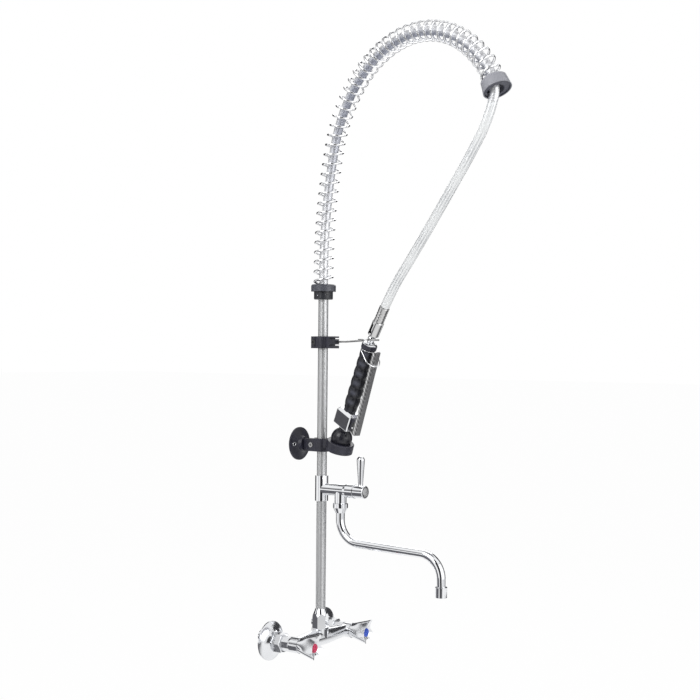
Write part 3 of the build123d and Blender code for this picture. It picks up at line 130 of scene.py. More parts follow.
# Lever tip: share of its outline and rise in millimetres of each ring, half width and half depth of the
# outline and the power that squares it, distance along the lever, inset from its outer face
TIP_RINGS = ((1.0, -3.4), (1.0, 0.0), (0.97, 0.6), (0.88, 1.1), (0.7, 1.45), (0.4, 1.65), (0.1, 1.7))
TIP_HALF = 0.00615
TIP_DEPTH = 0.0014
TIP_POWER = 0.7
TIP_ALONG = 0.1680
TIP_INSET = 0.0015

# Trim of the gun, as radius and distance up it: profile of the cap's dome, rings of cap and bell
DOME = (
    (0.0122, 0.1734), (0.0123, 0.1744), (0.0114, 0.1753),
    (0.0085, 0.1768), (0.0062, 0.1775), (0.0058, 0.1750),
)
CAP_RING = (0.0123, 0.1646)
BELL_RING = (0.0122, -0.0128)

# Hose joint: lean and start of the coupling nut's axis, radius of its inside, ends of its window
JOINT_LEAN = radians(33.31)
JOINT = RISER + ARM * 0.1328 + UP * 0.5050
JOINT_UP = ARM * sin(JOINT_LEAN) + UP * cos(JOINT_LEAN)
NUT_INSIDE = 0.0092
WINDOW = (0.0095, 0.0295)

# Tap hub: middle of its end, profile of the disc there as radius and distance out, radius of the seal
HUB_END = np.array([0.0, -0.141, 0.248])
HUB_DISC = ((0.0076, -0.0004), (0.0076, 0.0003), (0.0072, 0.00045), (0.0040, 0.0006), (0.0004, 0.00065))
SEAL_RADIUS = 0.0083

# Eyelets of the wall disc: offset to each side, place out and up, radius, and how far they face outward
EYELET_ASIDE = 0.02
EYELET_PLACE = (-0.0054, 0.3233)
EYELET_RADIUS = 0.0028
EYELET_TURN = radians(17.0)

# Stage: level of the floor and of the feet of the cards
FLOOR = -0.30
CARD_FOOT = -0.29


def arm_point(out, level):
    """Points from distance out and height: riser + arm * out + up * level."""
    return RISER + np.asarray(out, float)[..., None] * ARM + np.asarray(level, float)[..., None] * UP


def arch(run, foot):
    """Out, height and heading at a run along the arch.

    Each bend of radius R from heading h adds R (cos h - cos(h + s)) out and R (sin(h + s) - sin h) up,
    where s is the run spent in it over R. The tail goes straight on along the last heading.
    """
    run = np.asarray(run, float)
    straight = STRAIGHT_TOP - foot
    out = np.zeros_like(run)
    level = foot + np.clip(run, 0, straight)
    heading = np.zeros_like(run)
    spent, fixed = straight, 0.0
    for radius, turn in BENDS:
        swing = np.clip(run - spent, 0, radius * radians(turn)) / radius
        out = out + radius * (cos(fixed) - np.cos(fixed + swing))
        level = level + radius * (np.sin(fixed + swing) - sin(fixed))
        heading = heading + swing
        fixed += radians(turn)
        spent += radius * radians(turn)
    rest = np.clip(run - spent, 0, None)
    return out + rest * sin(fixed), level + rest * cos(fixed), heading


def unit(vectors):
    """Each row divided by its own length."""
    return vectors / np.linalg.norm(vectors, axis=-1, keepdims=True)


def ring(first, second, count):
    """Circle of directions: first cos a + second sin a at even steps of a."""
    angle = (np.arange(count) * 2 * np.pi / count)[:, None]
    return np.cos(angle) * first + np.sin(angle) * second


def grid_mesh(name, points, loop_u=False, loop_v=True):
    """Smooth mesh of a grid, rows along u and columns round v, with a face on each open end."""
    rows, cols = points.shape[:2]
    index = np.arange(rows * cols).reshape(rows, cols)
    lower = index if loop_u else index[:-1]
    upper = np.roll(index, -1, 0) if loop_u else index[1:]
    if loop_v:
        quads = np.stack([lower, np.roll(lower, -1, 1), np.roll(upper, -1, 1), upper], -1)
    else:
        quads = np.stack([lower[:, :-1], lower[:, 1:], upper[:, 1:], upper[:, :-1]], -1)
    faces = quads.reshape(-1, 4).tolist()
    if loop_v and not loop_u:
        faces.append(index[0, ::-1].tolist())
        faces.append(index[-1].tolist())
    mesh = bpy.data.meshes.new(name)
    mesh.from_pydata(points.reshape(-1, 3).tolist(), [], faces)
    mesh.update()
    mesh.polygons.foreach_set("use_smooth", np.ones(len(mesh.polygons), bool))
    return mesh


def vertices(mesh):
    """Places of a mesh's vertices, one a row."""
    places = np.zeros(len(mesh.vertices) * 3)
    mesh.vertices.foreach_get("co", places)
    return places.reshape(-1, 3)


def add_uv(mesh, around, along):
    """UV map from per-vertex values, with the seam column carried on past the last one."""
    layer = mesh.uv_layers.new(name="UVMap")
    corner = np.zeros(len(mesh.loops), int)
    mesh.loops.foreach_get("vertex_index", corner)
    u = around.reshape(-1)[corner]
    v = along.reshape(-1)[corner]
    starts = np.zeros(len(mesh.polygons), int)
    totals = np.zeros(len(mesh.polygons), int)
    mesh.polygons.foreach_get("loop_start", starts)
    mesh.polygons.foreach_get("loop_total", totals)
    face = np.repeat(np.arange(len(starts)), totals)
    top = np.zeros(len(starts))
    np.maximum.at(top, face, u)
    u = np.where(top[face] - u > 0.5, u + 1.0, u)
    layer.data.foreach_set("uv", np.stack([u, v], -1).reshape(-1))


def add_object(name, data):
    """Object at the origin, linked to the scene."""
    item = bpy.data.objects.new(name, data)
    bpy.context.scene.collection.objects.link(item)
    return item


def piece(name, mesh, look, body, sharp=None):
    """Piece at the origin with one finish, riding on a body; edges over so many degrees stay sharp."""
    item = add_object(name, mesh)
    mesh.materials.append(finish(look))
    if sharp is not None:
        mesh.set_sharp_from_angle(angle=radians(sharp))
    if body is not None:
        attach(item, body)
    return item


def tube(name, path, normals, radius, sides, closed=False):
    """Tube: path + radius (cos a * normal + sin a * binormal), the binormal square to both."""
    path = np.asarray(path)
    ahead = np.roll(path, -1, 0) - np.roll(path, 1, 0) if closed else np.gradient(path, axis=0)
    ahead = unit(ahead)
    normals = unit(normals - (normals * ahead).sum(-1, keepdims=True) * ahead)
    binormals = np.cross(ahead, normals)
    points = path[:, None] + radius * ring(normals[:, None], binormals[:, None], sides)
    mesh = grid_mesh(name, points, loop_u=closed)
    step = np.linalg.norm(np.diff(path, axis=0), axis=1)
    along = np.concatenate([[0.0], np.cumsum(step)])
    around = np.broadcast_to(np.arange(sides) / sides, (len(path), sides))
    add_uv(mesh, around, np.repeat(along[:, None], sides, 1))
    return mesh


def band(name, centre, first, second, radius, wire):
    """Round wire closed into a circle: a tube about centre + radius (first cos a + second sin a)."""
    around = ring(first, second, 96)
    return tube(name, centre + radius * around, around, wire, 12, closed=True)


def turned(name, centre, axis, profile, sides=64):
    """Turned surface: centre + axis * height + radius (cos a * across + sin a * axis x across)."""
    across = unit(np.cross(axis, UP if abs(axis[2]) < 0.9 else ARM))
    radius, height = np.array(profile).T[..., None, None]
    around = ring(across, np.cross(axis, across), sides)
    return grid_mesh(name, centre + height * axis + radius * around)


# Finishes


def add_group(name, inputs, outputs):
    """Empty shader node group with its sockets; each input is a name, socket type and default."""
    group = bpy.data.node_groups.new(name, "ShaderNodeTree")
    for label, kind, value in inputs:
        socket = group.interface.new_socket(label, in_out="INPUT", socket_type=kind)
        if value is not None:
            socket.default_value = value
    for label, kind in outputs:
        group.interface.new_socket(label, in_out="OUTPUT", socket_type=kind)
    source = group.nodes.new("NodeGroupInput")
    sink = group.nodes.new("NodeGroupOutput")
    return group, source, sink


def math(tree, operation, a, b=None, c=None, clamp=False):
    """Math node whose inputs are sockets or numbers."""
    node = tree.nodes.new("ShaderNodeMath")
    node.operation = operation
    node.use_clamp = clamp
    for slot, value in zip(node.inputs, (a, b, c)):
        if value is None:
            continue
        if isinstance(value, (int, float)):
            slot.default_value = value
        else:
            tree.links.new(value, slot)
    return node.outputs[0]


def noise(tree, vector, scale, detail=4.0, rough=0.55):
    """Noise texture's factor."""
    node = tree.nodes.new("ShaderNodeTexNoise")
    node.inputs["Scale"].default_value = scale
    node.inputs["Detail"].default_value = detail
    node.inputs["Roughness"].default_value = rough
    tree.links.new(vector, node.inputs["Vector"])
    return node.outputs["Fac"]


def stretched(tree, vector, factors):
    """Vector scaled along each axis."""
    node = tree.nodes.new("ShaderNodeMapping")
    node.inputs["Scale"].default_value = factors
    tree.links.new(vector, node.inputs["Vector"])
    return node.outputs["Vector"]


def reach(tree, coordinates, origin, direction):
    """Distance of the object's points from an origin along a direction: (P - origin) . direction."""
    offset = tree.nodes.new("ShaderNodeVectorMath")
    offset.operation = "SUBTRACT"
    offset.inputs[1].default_value = tuple(origin)
    tree.links.new(coordinates.outputs["Object"], offset.inputs[0])
    product = tree.nodes.new("ShaderNodeVectorMath")
    product.operation = "DOT_PRODUCT"
    product.inputs[1].default_value = tuple(direction)
    tree.links.new(offset.outputs[0], product.inputs[0])
    return product.outputs["Value"]


def radius_about(tree, origin, axis):
    """Distance from an axis through an origin: sqrt(a^2 + b^2) of two offsets square to it."""
    coordinates = tree.nodes["Texture Coordinate"]
    offsets = [reach(tree, coordinates, origin, way) for way in (SIDE, np.cross(axis, SIDE))]
    squares = (math(tree, "MULTIPLY", value, value) for value in offsets)
    return math(tree, "SQRT", math(tree, "ADD", *squares))


def step_up(tree, value, start, end):
    """Rises from 0 to 1 while the value goes from start to end, which may be below start."""
    return math(tree, "MULTIPLY_ADD", value, 1 / (end - start), -start / (end - start), clamp=True)


def ramp(tree, factor, stops):
    """Colour ramp between the stops, each a place and a grey or colour."""
    node = tree.nodes.new("ShaderNodeValToRGB")
    elements = node.color_ramp.elements
    while len(elements) < len(stops):
        elements.new(0.5)
    for element, (place, value) in zip(elements, stops):
        element.position = place
        element.color = (value, value, value, 1) if isinstance(value, float) else (*value, 1)
    tree.links.new(factor, node.inputs["Fac"])
    return node.outputs["Color"]


def make_handling_group():
    """Handled surface: cloudy smears and fine scratches turn into a roughness and a height."""
    group, source, sink = add_group(
        "Handling Marks",
        [
            ("Vector", "NodeSocketVector", None),
            ("Roughness", "NodeSocketFloat", 0.1),
            ("Spread", "NodeSocketFloat", 0.06),
        ],
        [("Roughness", "NodeSocketFloat"), ("Height", "NodeSocketFloat")],
    )
    vector = source.outputs["Vector"]
    cloud = noise(group, vector, 38.0, 3.0)
    scratch = noise(group, stretched(group, vector, (1400.0, 1400.0, 90.0)), 1.0, 2.0)
    smear = math(group, "SUBTRACT", cloud, 0.45)
    line = math(group, "SUBTRACT", scratch, 0.5)
    mixed = math(group, "MULTIPLY_ADD", line, 0.35, smear)
    spread = math(group, "MULTIPLY", mixed, source.outputs["Spread"])
    roughness = math(group, "ADD", spread, source.outputs["Roughness"], clamp=True)
    group.links.new(roughness, sink.inputs["Roughness"])
    group.links.new(scratch, sink.inputs["Height"])
    return group


def make_grain_group():
    """Moulded plastic: a fine spark-eroded grain as height, and a faint mottling as a mask."""
    group, source, sink = add_group(
        "Moulded Grain",
        [("Vector", "NodeSocketVector", None), ("Grain", "NodeSocketFloat", 2600.0)],
        [("Height", "NodeSocketFloat"), ("Mottle", "NodeSocketFloat")],
    )
    node = group.nodes.new("ShaderNodeTexNoise")
    node.inputs["Detail"].default_value = 2.0
    group.links.new(source.outputs["Vector"], node.inputs["Vector"])
    group.links.new(source.outputs["Grain"], node.inputs["Scale"])
    group.links.new(node.outputs["Fac"], sink.inputs["Height"])
    group.links.new(noise(group, source.outputs["Vector"], 60.0, 3.0), sink.inputs["Mottle"])
    return group


def make_braid_group():
    """Braid: two families of helical strands over the UV map; of their ridges the upper one shows."""
    group, source, sink = add_group(
        "Hose Braid",
        [
            ("Vector", "NodeSocketVector", None),
            ("Strands", "NodeSocketFloat", 16.0),
            ("Lay", "NodeSocketFloat", 420.0),
        ],
        [("Height", "NodeSocketFloat"), ("Gap", "NodeSocketFloat")],
    )
    split = group.nodes.new("ShaderNodeSeparateXYZ")
    group.links.new(source.outputs["Vector"], split.inputs[0])
    around = math(group, "MULTIPLY", split.outputs["X"], source.outputs["Strands"])
    along = math(group, "MULTIPLY", split.outputs["Y"], source.outputs["Lay"])
    ridges = []
    for operation in ("ADD", "SUBTRACT"):
        phase = math(group, operation, around, along)
        wave = math(group, "SINE", math(group, "MULTIPLY", phase, 2 * np.pi))
        ridges.append(math(group, "MULTIPLY_ADD", wave, 0.5, 0.5))
    upper = math(group, "MAXIMUM", *ridges)
    group.links.new(upper, sink.inputs["Height"])
    group.links.new(math(group, "SUBTRACT", 1.0, upper), sink.inputs["Gap"])
    return group


GROUPS = {}
FINISHES = {}


def group_node(tree, name):
    """Node that places a shared group, made on first use."""
    makers = {"handling": make_handling_group, "grain": make_grain_group, "braid": make_braid_group}
    if name not in GROUPS:
        GROUPS[name] = makers[name]()
    node = tree.nodes.new("ShaderNodeGroup")
    node.node_tree = GROUPS[name]
    return node


def new_material(name, colour, roughness, metallic=0.0, **sockets):
    """Material with a Principled shader, its texture coordinates and plain socket values."""
    material = bpy.data.materials.new(name)
    material.use_nodes = True
    material.diffuse_color = (*colour, 1.0)
    tree = material.node_tree
    shader = tree.nodes["Principled BSDF"]
    shader.inputs["Base Color"].default_value = (*colour, 1.0)
    shader.inputs["Roughness"].default_value = roughness
    shader.inputs["Metallic"].default_value = metallic
    for label, value in sockets.items():
        shader.inputs[label.replace("_", " ")].default_value = value
    coordinates = tree.nodes.new("ShaderNodeTexCoord")
    return material, tree, shader, coordinates


def bump(tree, shader, height, strength, distance):
    """Bump node from a height into the shader's normal."""
    node = tree.nodes.new("ShaderNodeBump")
    node.inputs["Strength"].default_value = strength
    node.inputs["Distance"].default_value = distance
    tree.links.new(height, node.inputs["Height"])
    tree.links.new(node.outputs["Normal"], shader.inputs["Normal"])


def paint(tree, mask, stops):
    """Base colour from a ramp over a mask."""
    tree.links.new(ramp(tree, mask, stops), tree.nodes["Principled BSDF"].inputs["Base Color"])


def tint(tree, mask, dark, light, low=0.35, high=0.65):
    """Base colour between two shades by a mask."""
    paint(tree, mask, ((low, dark), (high, light)))


def smeared(tree, shader, coordinates, roughness, spread):
    """Roughness that varies with handling; gives the height of the scratches."""
    marks = group_node(tree, "handling")
    marks.inputs["Roughness"].default_value = roughness
    marks.inputs["Spread"].default_value = spread
    tree.links.new(coordinates.outputs["Object"], marks.inputs["Vector"])
    tree.links.new(marks.outputs["Roughness"], shader.inputs["Roughness"])
    return marks.outputs["Height"]


def handled(tree, shader, coordinates, roughness, spread, relief=0.02):
    """Handling marks on a metal: roughness that varies, and very light scratches."""
    bump(tree, shader, smeared(tree, shader, coordinates, roughness, spread), relief, 0.0002)


def woven(tree, coordinates, strands, lay):
    """Braid over the UV map, with so many strands each way round and turns for each metre."""
    weave = group_node(tree, "braid")
    weave.inputs["Strands"].default_value = strands
    weave.inputs["Lay"].default_value = lay
    tree.links.new(coordinates.outputs["UV"], weave.inputs["Vector"])
    return weave


def make_chrome():
    """Polished chrome with cloudy smears."""
    material, tree, shader, coordinates = new_material("Polished Chrome", (0.86, 0.87, 0.89), 0.05, 1.0)
    handled(tree, shader, coordinates, 0.045, 0.05)
    cloud = noise(tree, coordinates.outputs["Object"], 25.0)
    tint(tree, cloud, (0.84, 0.85, 0.87), (0.89, 0.90, 0.915))
    return material


def make_plated():
    """Softer chrome of the cast mixer parts."""
    material, tree, shader, coordinates = new_material("Cast Chrome", (0.80, 0.81, 0.83), 0.16, 1.0)
    handled(tree, shader, coordinates, 0.16, 0.06, 0.01)
    cloud = noise(tree, coordinates.outputs["Object"], 25.0)
    tint(tree, cloud, (0.78, 0.79, 0.81), (0.84, 0.85, 0.87))
    return material


def make_satin():
    """Drawn tube with fine streaks along it."""
    material, tree, shader, coordinates = new_material("Satin Tube", (0.56, 0.565, 0.57), 0.38, 0.80)
    handled(tree, shader, coordinates, 0.38, 0.05, 0.003)
    drawn = noise(tree, stretched(tree, coordinates.outputs["Object"], (900.0, 900.0, 6.0)), 1.0, 3.0)
    tint(tree, drawn, (0.53, 0.535, 0.54), (0.60, 0.605, 0.61), 0.3, 0.7)
    return material


def make_wire():
    """Bright wire of the spring."""
    material, tree, shader, coordinates = new_material("Spring Wire", (0.90, 0.91, 0.92), 0.09, 1.0)
    handled(tree, shader, coordinates, 0.08, 0.06, 0.03)
    cloud = noise(tree, coordinates.outputs["Object"], 30.0)
    tint(tree, cloud, (0.88, 0.885, 0.90), (0.94, 0.945, 0.955))
    return material


def make_nickel(name="Satin Nickel", shade=0.58, roughness=0.16):
    """Duller plated metal of the hose ends."""
    colour = (shade, shade, shade * 1.02)
    material, tree, shader, coordinates = new_material(name, colour, roughness, 1.0)
    handled(tree, shader, coordinates, roughness, 0.08, 0.04)
    cloud = noise(tree, coordinates.outputs["Object"], 60.0)
    tint(tree, cloud, (shade * 0.88,) * 3, (shade * 1.08,) * 3)
    return material


def make_ribbed():
    """Pressed steel of the squeeze lever, with painted light and shade.

    Slanted stripes of painted light and shade for its ribs, sin(2 pi (run + slant (half width - |side|
    - depth)) / pitch), cover its sides and wrap over the near third of its outer face. The rest of that
      face is plain, with painted shade
    darkening it toward the far side, and its ears are dark.
    """
    material, tree, shader, coordinates = new_material("Ribbed Lever", (0.5, 0.5, 0.5), 0.24, 1.0)
    aside = reach(tree, coordinates, RISER, SIDE)
    side = math(tree, "ABSOLUTE", aside)
    depth = reach(tree, coordinates, BALL + LEVER_FACE * LEVER_OUT, -LEVER_OUT)
    wrap = math(tree, "SUBTRACT", math(tree, "SUBTRACT", LEVER_HALF, side), depth)
    run = math(tree, "MULTIPLY_ADD", wrap, RIB_SLANT, reach(tree, coordinates, BALL, LEVER_RUN))
    wave = math(tree, "SINE", math(tree, "MULTIPLY", run, 2 * np.pi / RIB_PITCH))
    rib = step_up(tree, wave, -0.2, 0.9)
    flank = step_up(tree, side, LEVER_HALF - 0.00055, LEVER_HALF - 0.00015)
    flank = math(tree, "MAXIMUM", flank, step_up(tree, aside, -0.0015, -0.0030))
    ear = step_up(tree, depth, EAR_DEPTH - 0.0004, EAR_DEPTH + 0.0004)
    # Painted light and shade: pale and dark stripes stand for the lit and shaded sides of the ribs.
    ribbed = math(tree, "MULTIPLY_ADD", rib, 0.45, 0.38)
    # Painted shade: the plain face darkens toward the far side.
    plain = math(tree, "MULTIPLY_ADD", aside, -12.0, 0.58)
    shade = math(tree, "MULTIPLY_ADD", flank, math(tree, "SUBTRACT", ribbed, plain), plain)
    shade = math(tree, "MULTIPLY", shade, math(tree, "MULTIPLY_ADD", ear, -0.85, 1.0))
    paint(tree, shade, ((0.0, 0.0), (1.0, 1.0)))
    smeared(tree, shader, coordinates, 0.32, 0.05)
    bump(tree, shader, math(tree, "MULTIPLY", rib, flank), 0.06, 0.0006)
    return material


def make_slotted():
    """Plated metal of the coupling nut, with painted shade in its window, where the radius is below its
    inside.
    """
    material = make_nickel("Slotted Nut", 0.66, 0.14)
    tree = material.node_tree
    radius = radius_about(tree, JOINT, JOINT_UP)
    along = reach(tree, tree.nodes["Texture Coordinate"], JOINT, JOINT_UP)
    start, end = WINDOW
    window = step_up(tree, radius, NUT_INSIDE, NUT_INSIDE - 0.0003)
    window = math(tree, "MULTIPLY", window, step_up(tree, along, start, start + 0.0005))
    window = math(tree, "MULTIPLY", window, step_up(tree, along, end, end - 0.0005))
    # Painted shade: the inside seen through the window is painted nearly black.
    paint(tree, window, ((0.0, 0.66), (1.0, 0.03)))
    return material


def make_ferrule():
    """Lower ferrule: grey cup above, black sleeve below."""
    material = make_black("Two-tone Ferrule", 0.03, 0.01, 0.36)
    tree = material.node_tree
    level = reach(tree, tree.nodes["Texture Coordinate"], np.zeros(3), UP)
    cup = step_up(tree, level, FERRULE_SPLIT - 0.0003, FERRULE_SPLIT + 0.0003)
    paint(tree, cup, ((0.0, (0.020, 0.021, 0.027)), (1.0, (0.075, 0.078, 0.095))))
    return material


def make_collar():
    """Grey moulding of the collar, with painted shade inside its rim, where radius - taper * along is
    small.
    """
    material = make_black("Grey Collar", 0.235, 0.06, 0.34, 2200.0, 0.10)
    tree = material.node_tree
    out, level, heading = arch(1.0, STRAIGHT_TOP)
    ahead = ARM * float(np.sin(heading)) + UP * float(np.cos(heading))
    foot = float((vertices(NODES["upper_collar"].data) @ ahead).max())
    along = reach(tree, tree.nodes["Texture Coordinate"], foot * ahead, ahead)
    radius = radius_about(tree, arm_point(out, level), ahead)
    inset = math(tree, "MULTIPLY_ADD", along, -COLLAR_TAPER, radius)
    rim = step_up(tree, inset, COLLAR_RADIUS - 0.0015, COLLAR_RADIUS - 0.0007)
    # Painted shade: the inside of the rim is painted dark.
    paint(tree, rim, ((0.0, (0.070, 0.073, 0.095)), (1.0, (0.32, 0.325, 0.36))))
    return material


def make_black(
    name="Black Moulding", shade=0.021, blue=0.016, roughness=0.40, grain=2600.0, relief=0.12
):
    """Moulded plastic or rubber, with its shade, how blue its light part is, and its grain."""
    dark = (shade, shade, shade + blue * 0.6)
    light = (shade * 1.2, shade * 1.2, shade * 1.2 + blue)
    material, tree, shader, coordinates = new_material(name, dark, roughness)
    texture = group_node(tree, "grain")
    texture.inputs["Grain"].default_value = grain
    tree.links.new(coordinates.outputs["Object"], texture.inputs["Vector"])
    tint(tree, texture.outputs["Mottle"], dark, light)
    wear = math(tree, "MULTIPLY_ADD", texture.outputs["Mottle"], 0.16, roughness - 0.08)
    tree.links.new(wear, shader.inputs["Roughness"])
    bump(tree, shader, texture.outputs["Height"], relief, 0.0001)
    return material


def make_grip():
    """Soft black of the grip, with a painted highlight on its crests on one fixed side.

    The painted highlight is sin(pi run / rib)^2 times the fourth power of the cosine to that side.
    """
    material = make_black("Soft Grip", 0.009, 0.007, 0.34, 1900.0, 0.03)
    tree = material.node_tree
    coordinates = tree.nodes["Texture Coordinate"]
    run = reach(tree, coordinates, BALL + GUN_UP * RIB_START, GUN_UP)
    crest = math(tree, "SINE", math(tree, "MULTIPLY", run, np.pi / RIB_LENGTH))
    highlight_side = unit(HIGHLIGHT_SIDE - (HIGHLIGHT_SIDE @ GUN_UP) * GUN_UP)
    toward = math(tree, "MULTIPLY", reach(tree, coordinates, BALL, highlight_side), 1 / GRIP_RADIUS, clamp=True)
    painted_highlight = math(tree, "MULTIPLY", crest, crest)
    painted_highlight = math(tree, "MULTIPLY", math(tree, "POWER", toward, 4.0), painted_highlight)
    # Painted highlight: the grip's own black, brightening through two paler colours on the crests on
    # one fixed side.
    base, half_highlight, full_highlight = (0.009, 0.009, 0.013), (0.022, 0.023, 0.032), (0.060, 0.063, 0.085)
    paint(tree, painted_highlight, ((0.0, base), (0.5, half_highlight), (1.0, full_highlight)))
    return material


def make_gloss(name, dark, light):
    """Glossy moulding between two shades, under a thin coat."""
    material, tree, shader, coordinates = new_material(name, light, 0.22, Coat_Weight=0.5)
    tint(tree, noise(tree, coordinates.outputs["Object"], 120.0), dark, light)
    bump(tree, shader, noise(tree, coordinates.outputs["Object"], 900.0), 0.05, 0.0001)
    return material


def make_rubber():
    """Dull rubber of the seals."""
    return make_black("Sealing Rubber", 0.025, 0.0, 0.7, 1800.0, 0.3)


def make_brass():
    """Turned brass of the parts inside."""
    material, tree, shader, coordinates = new_material("Turned Brass", (0.78, 0.60, 0.30), 0.25, 1.0)
    handled(tree, shader, coordinates, 0.25, 0.12, 0.1)
    cloud = noise(tree, coordinates.outputs["Object"], 50.0)
    tint(tree, cloud, (0.66, 0.48, 0.22), (0.80, 0.63, 0.34))
    return material


def make_braid():
    """Fine steel braid under a clear sleeve; UV is the turn about the hose and the metres along it."""
    dark, light = (0.70, 0.71, 0.73), (0.92, 0.925, 0.93)
    material, tree, shader, coordinates = new_material(
        "Steel Braid", light, 0.2, 1.0, Coat_Weight=1.0, Coat_Roughness=0.04
    )
    weave = woven(tree, coordinates, 9.0, 6.0)
    tint(tree, weave.outputs["Height"], dark, light, 0.3, 0.8)
    roughness = math(tree, "MULTIPLY_ADD", weave.outputs["Gap"], 0.16, 0.30)
    tree.links.new(roughness, shader.inputs["Roughness"])
    bump(tree, shader, weave.outputs["Height"], 0.03, 0.0002)
    return material


def make_core():
    """Braided hose inside the spring, pale, with painted shade in grey-blue on its inner side that
    grows in over the arch.
    """
    material, tree, shader, coordinates = new_material("Inner Braid", (0.8, 0.8, 0.8), 0.4, 0.55)
    weave = woven(tree, coordinates, 24.0, 300.0)
    split = tree.nodes.new("ShaderNodeSeparateXYZ")
    tree.links.new(coordinates.outputs["UV"], split.inputs[0])
    # Painted shade: the inner side of the hose turns grey-blue over the arch.
    inward = math(tree, "SINE", math(tree, "MULTIPLY", split.outputs["X"], -2 * np.pi))
    inward = step_up(tree, inward, -0.35, 0.75)
    inward = math(tree, "MULTIPLY", inward, step_up(tree, split.outputs["Y"], 0.10, 0.35))
    strand = math(tree, "MULTIPLY_ADD", weave.outputs["Gap"], 0.25, inward)
    pale, gap, shaded = (0.86, 0.865, 0.88), (0.74, 0.75, 0.78), (0.40, 0.42, 0.49)
    paint(tree, strand, ((0.0, pale), (0.25, gap), (1.0, shaded)))
    bump(tree, shader, weave.outputs["Height"], 0.12, 0.0002)
    return material


def make_jacket():
    """Clear sleeve over the braid of the free hose."""
    material, tree, shader, coordinates = new_material(
        "Clear Jacket", (0.97, 0.98, 0.98), 0.05, IOR=1.45, Transmission_Weight=1.0
    )
    cloud = noise(tree, coordinates.outputs["Object"], 40.0, 2.0)
    tree.links.new(math(tree, "MULTIPLY_ADD", cloud, 0.04, 0.02), shader.inputs["Roughness"])
    return material


MAKERS = {
    "chrome": make_chrome,
    "plated": make_plated,
    "satin": make_satin,
    "wire": make_wire,
    "nickel": make_nickel,
    "steel": lambda: make_nickel("Hook Steel", 0.42, 0.22),
    "oxide": lambda: make_nickel("Dark Screw", 0.13, 0.3),
    "ribbed": make_ribbed,
    "grip": make_grip,
    "bell": lambda: make_black("Soft Bell", 0.009, 0.007, 0.30, 1900.0, 0.03),
    "black": make_black,
    "slate": lambda: make_black("Slate Panel", 0.040, 0.012, 0.34, 1500.0, 0.06),
    "collar": make_collar,
    "ferrule": make_ferrule,
    "slotted": make_slotted,
    "white": lambda: make_gloss("White Moulding", (0.78, 0.79, 0.79), (0.86, 0.87, 0.87)),
    "red": lambda: make_gloss("Red Index", (0.62, 0.06, 0.13), (0.76, 0.09, 0.19)),
    "blue": lambda: make_gloss("Blue Index", (0.05, 0.11, 0.55), (0.08, 0.16, 0.72)),
    "rubber": make_rubber,
    "brass": make_brass,
    "braid": make_braid,
    "core": make_core,
    "jacket": make_jacket,
}


def finish(name):
    """Finish by name, made on first use."""
    if name not in FINISHES:
        FINISHES[name] = MAKERS[name]()
    return FINISHES[name]


def dress(name, *nodes):
    """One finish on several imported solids."""
    for node in nodes:
        mesh = NODES[node].data
        mesh.materials.clear()
        mesh.materials.append(finish(name))


def both(*names):
    """Hot and cold names of paired solids."""
    return [f"{name}_{side}" for name in names for side in ("hot", "cold")]


# Operators


class MixerFinish(bpy.types.Operator):
    """Chrome, rubber and index buttons of the mixer and its wall unions"""

    bl_idname = "faucet.mixer_finish"
    bl_label = "Mixer"

    def execute(self, context):
        dress("plated", "mixer_body", *both("rosette", "wall_union", "union_nut"))
        dress("plated", *both("headwork", "handle", "handle_screw"))
        dress("brass", *both("spindle"))
        dress("rubber", "inlet_washers")
        dress("red", "index_button_hot")
        dress("blue", "index_button_cold")
        return {"FINISHED"}


class RiserFinish(bpy.types.Operator):
    """Satin riser, tee, tap and spout"""

    bl_idname = "faucet.riser_finish"
    bl_label = "Riser and Tap"

    def execute(self, context):
        dress("satin", "lower_riser", "upper_riser")
        dress("chrome", "riser_nut", "tee_body", "grub_screws", "tap_hub", "tap_lever")
        dress("chrome", "spout_nut", "spout_tube", "aerator_housing", "hose_nipple")
        dress("brass", "riser_olive", "tap_cartridge")
        dress("rubber", "spout_seal")
        dress("white", "aerator_insert")
        return {"FINISHED"}


class BracketFinish(bpy.types.Operator):
    """Black bracket, clamps, holder ring and hook"""

    bl_idname = "faucet.bracket_finish"
    bl_label = "Bracket and Hook"

    def execute(self, context):
        dress("black", "wall_disc", "bracket_arm", "bracket_clamp", "holder_ring", "hook_clamp")
        dress("ferrule", "lower_ferrule")
        dress("oxide", "hook_screw")
        dress("steel", "hook_wire", "bracket_screw")
        dress("collar", "upper_collar")
        return {"FINISHED"}


class GunFinish(bpy.types.Operator):
    """Spray gun with its grip, lever, head and coupling"""

    bl_idname = "faucet.gun_finish"
    bl_label = "Spray Gun"

    def execute(self, context):
        dress("black", "gun_cap", "lever_bracket", "nozzle_plate")
        dress("grip", "gun_grip")
        dress("bell", "spray_bell")
        dress("slate", "head_panels")
        dress("chrome", "gun_neck", "gun_head", "lever_pin", "valve_stem", "hold_ring")
        dress("ribbed", "squeeze_lever")
        dress("nickel", "crimp_ferrule")
        dress("slotted", "coupling_nut")
        return {"FINISHED"}


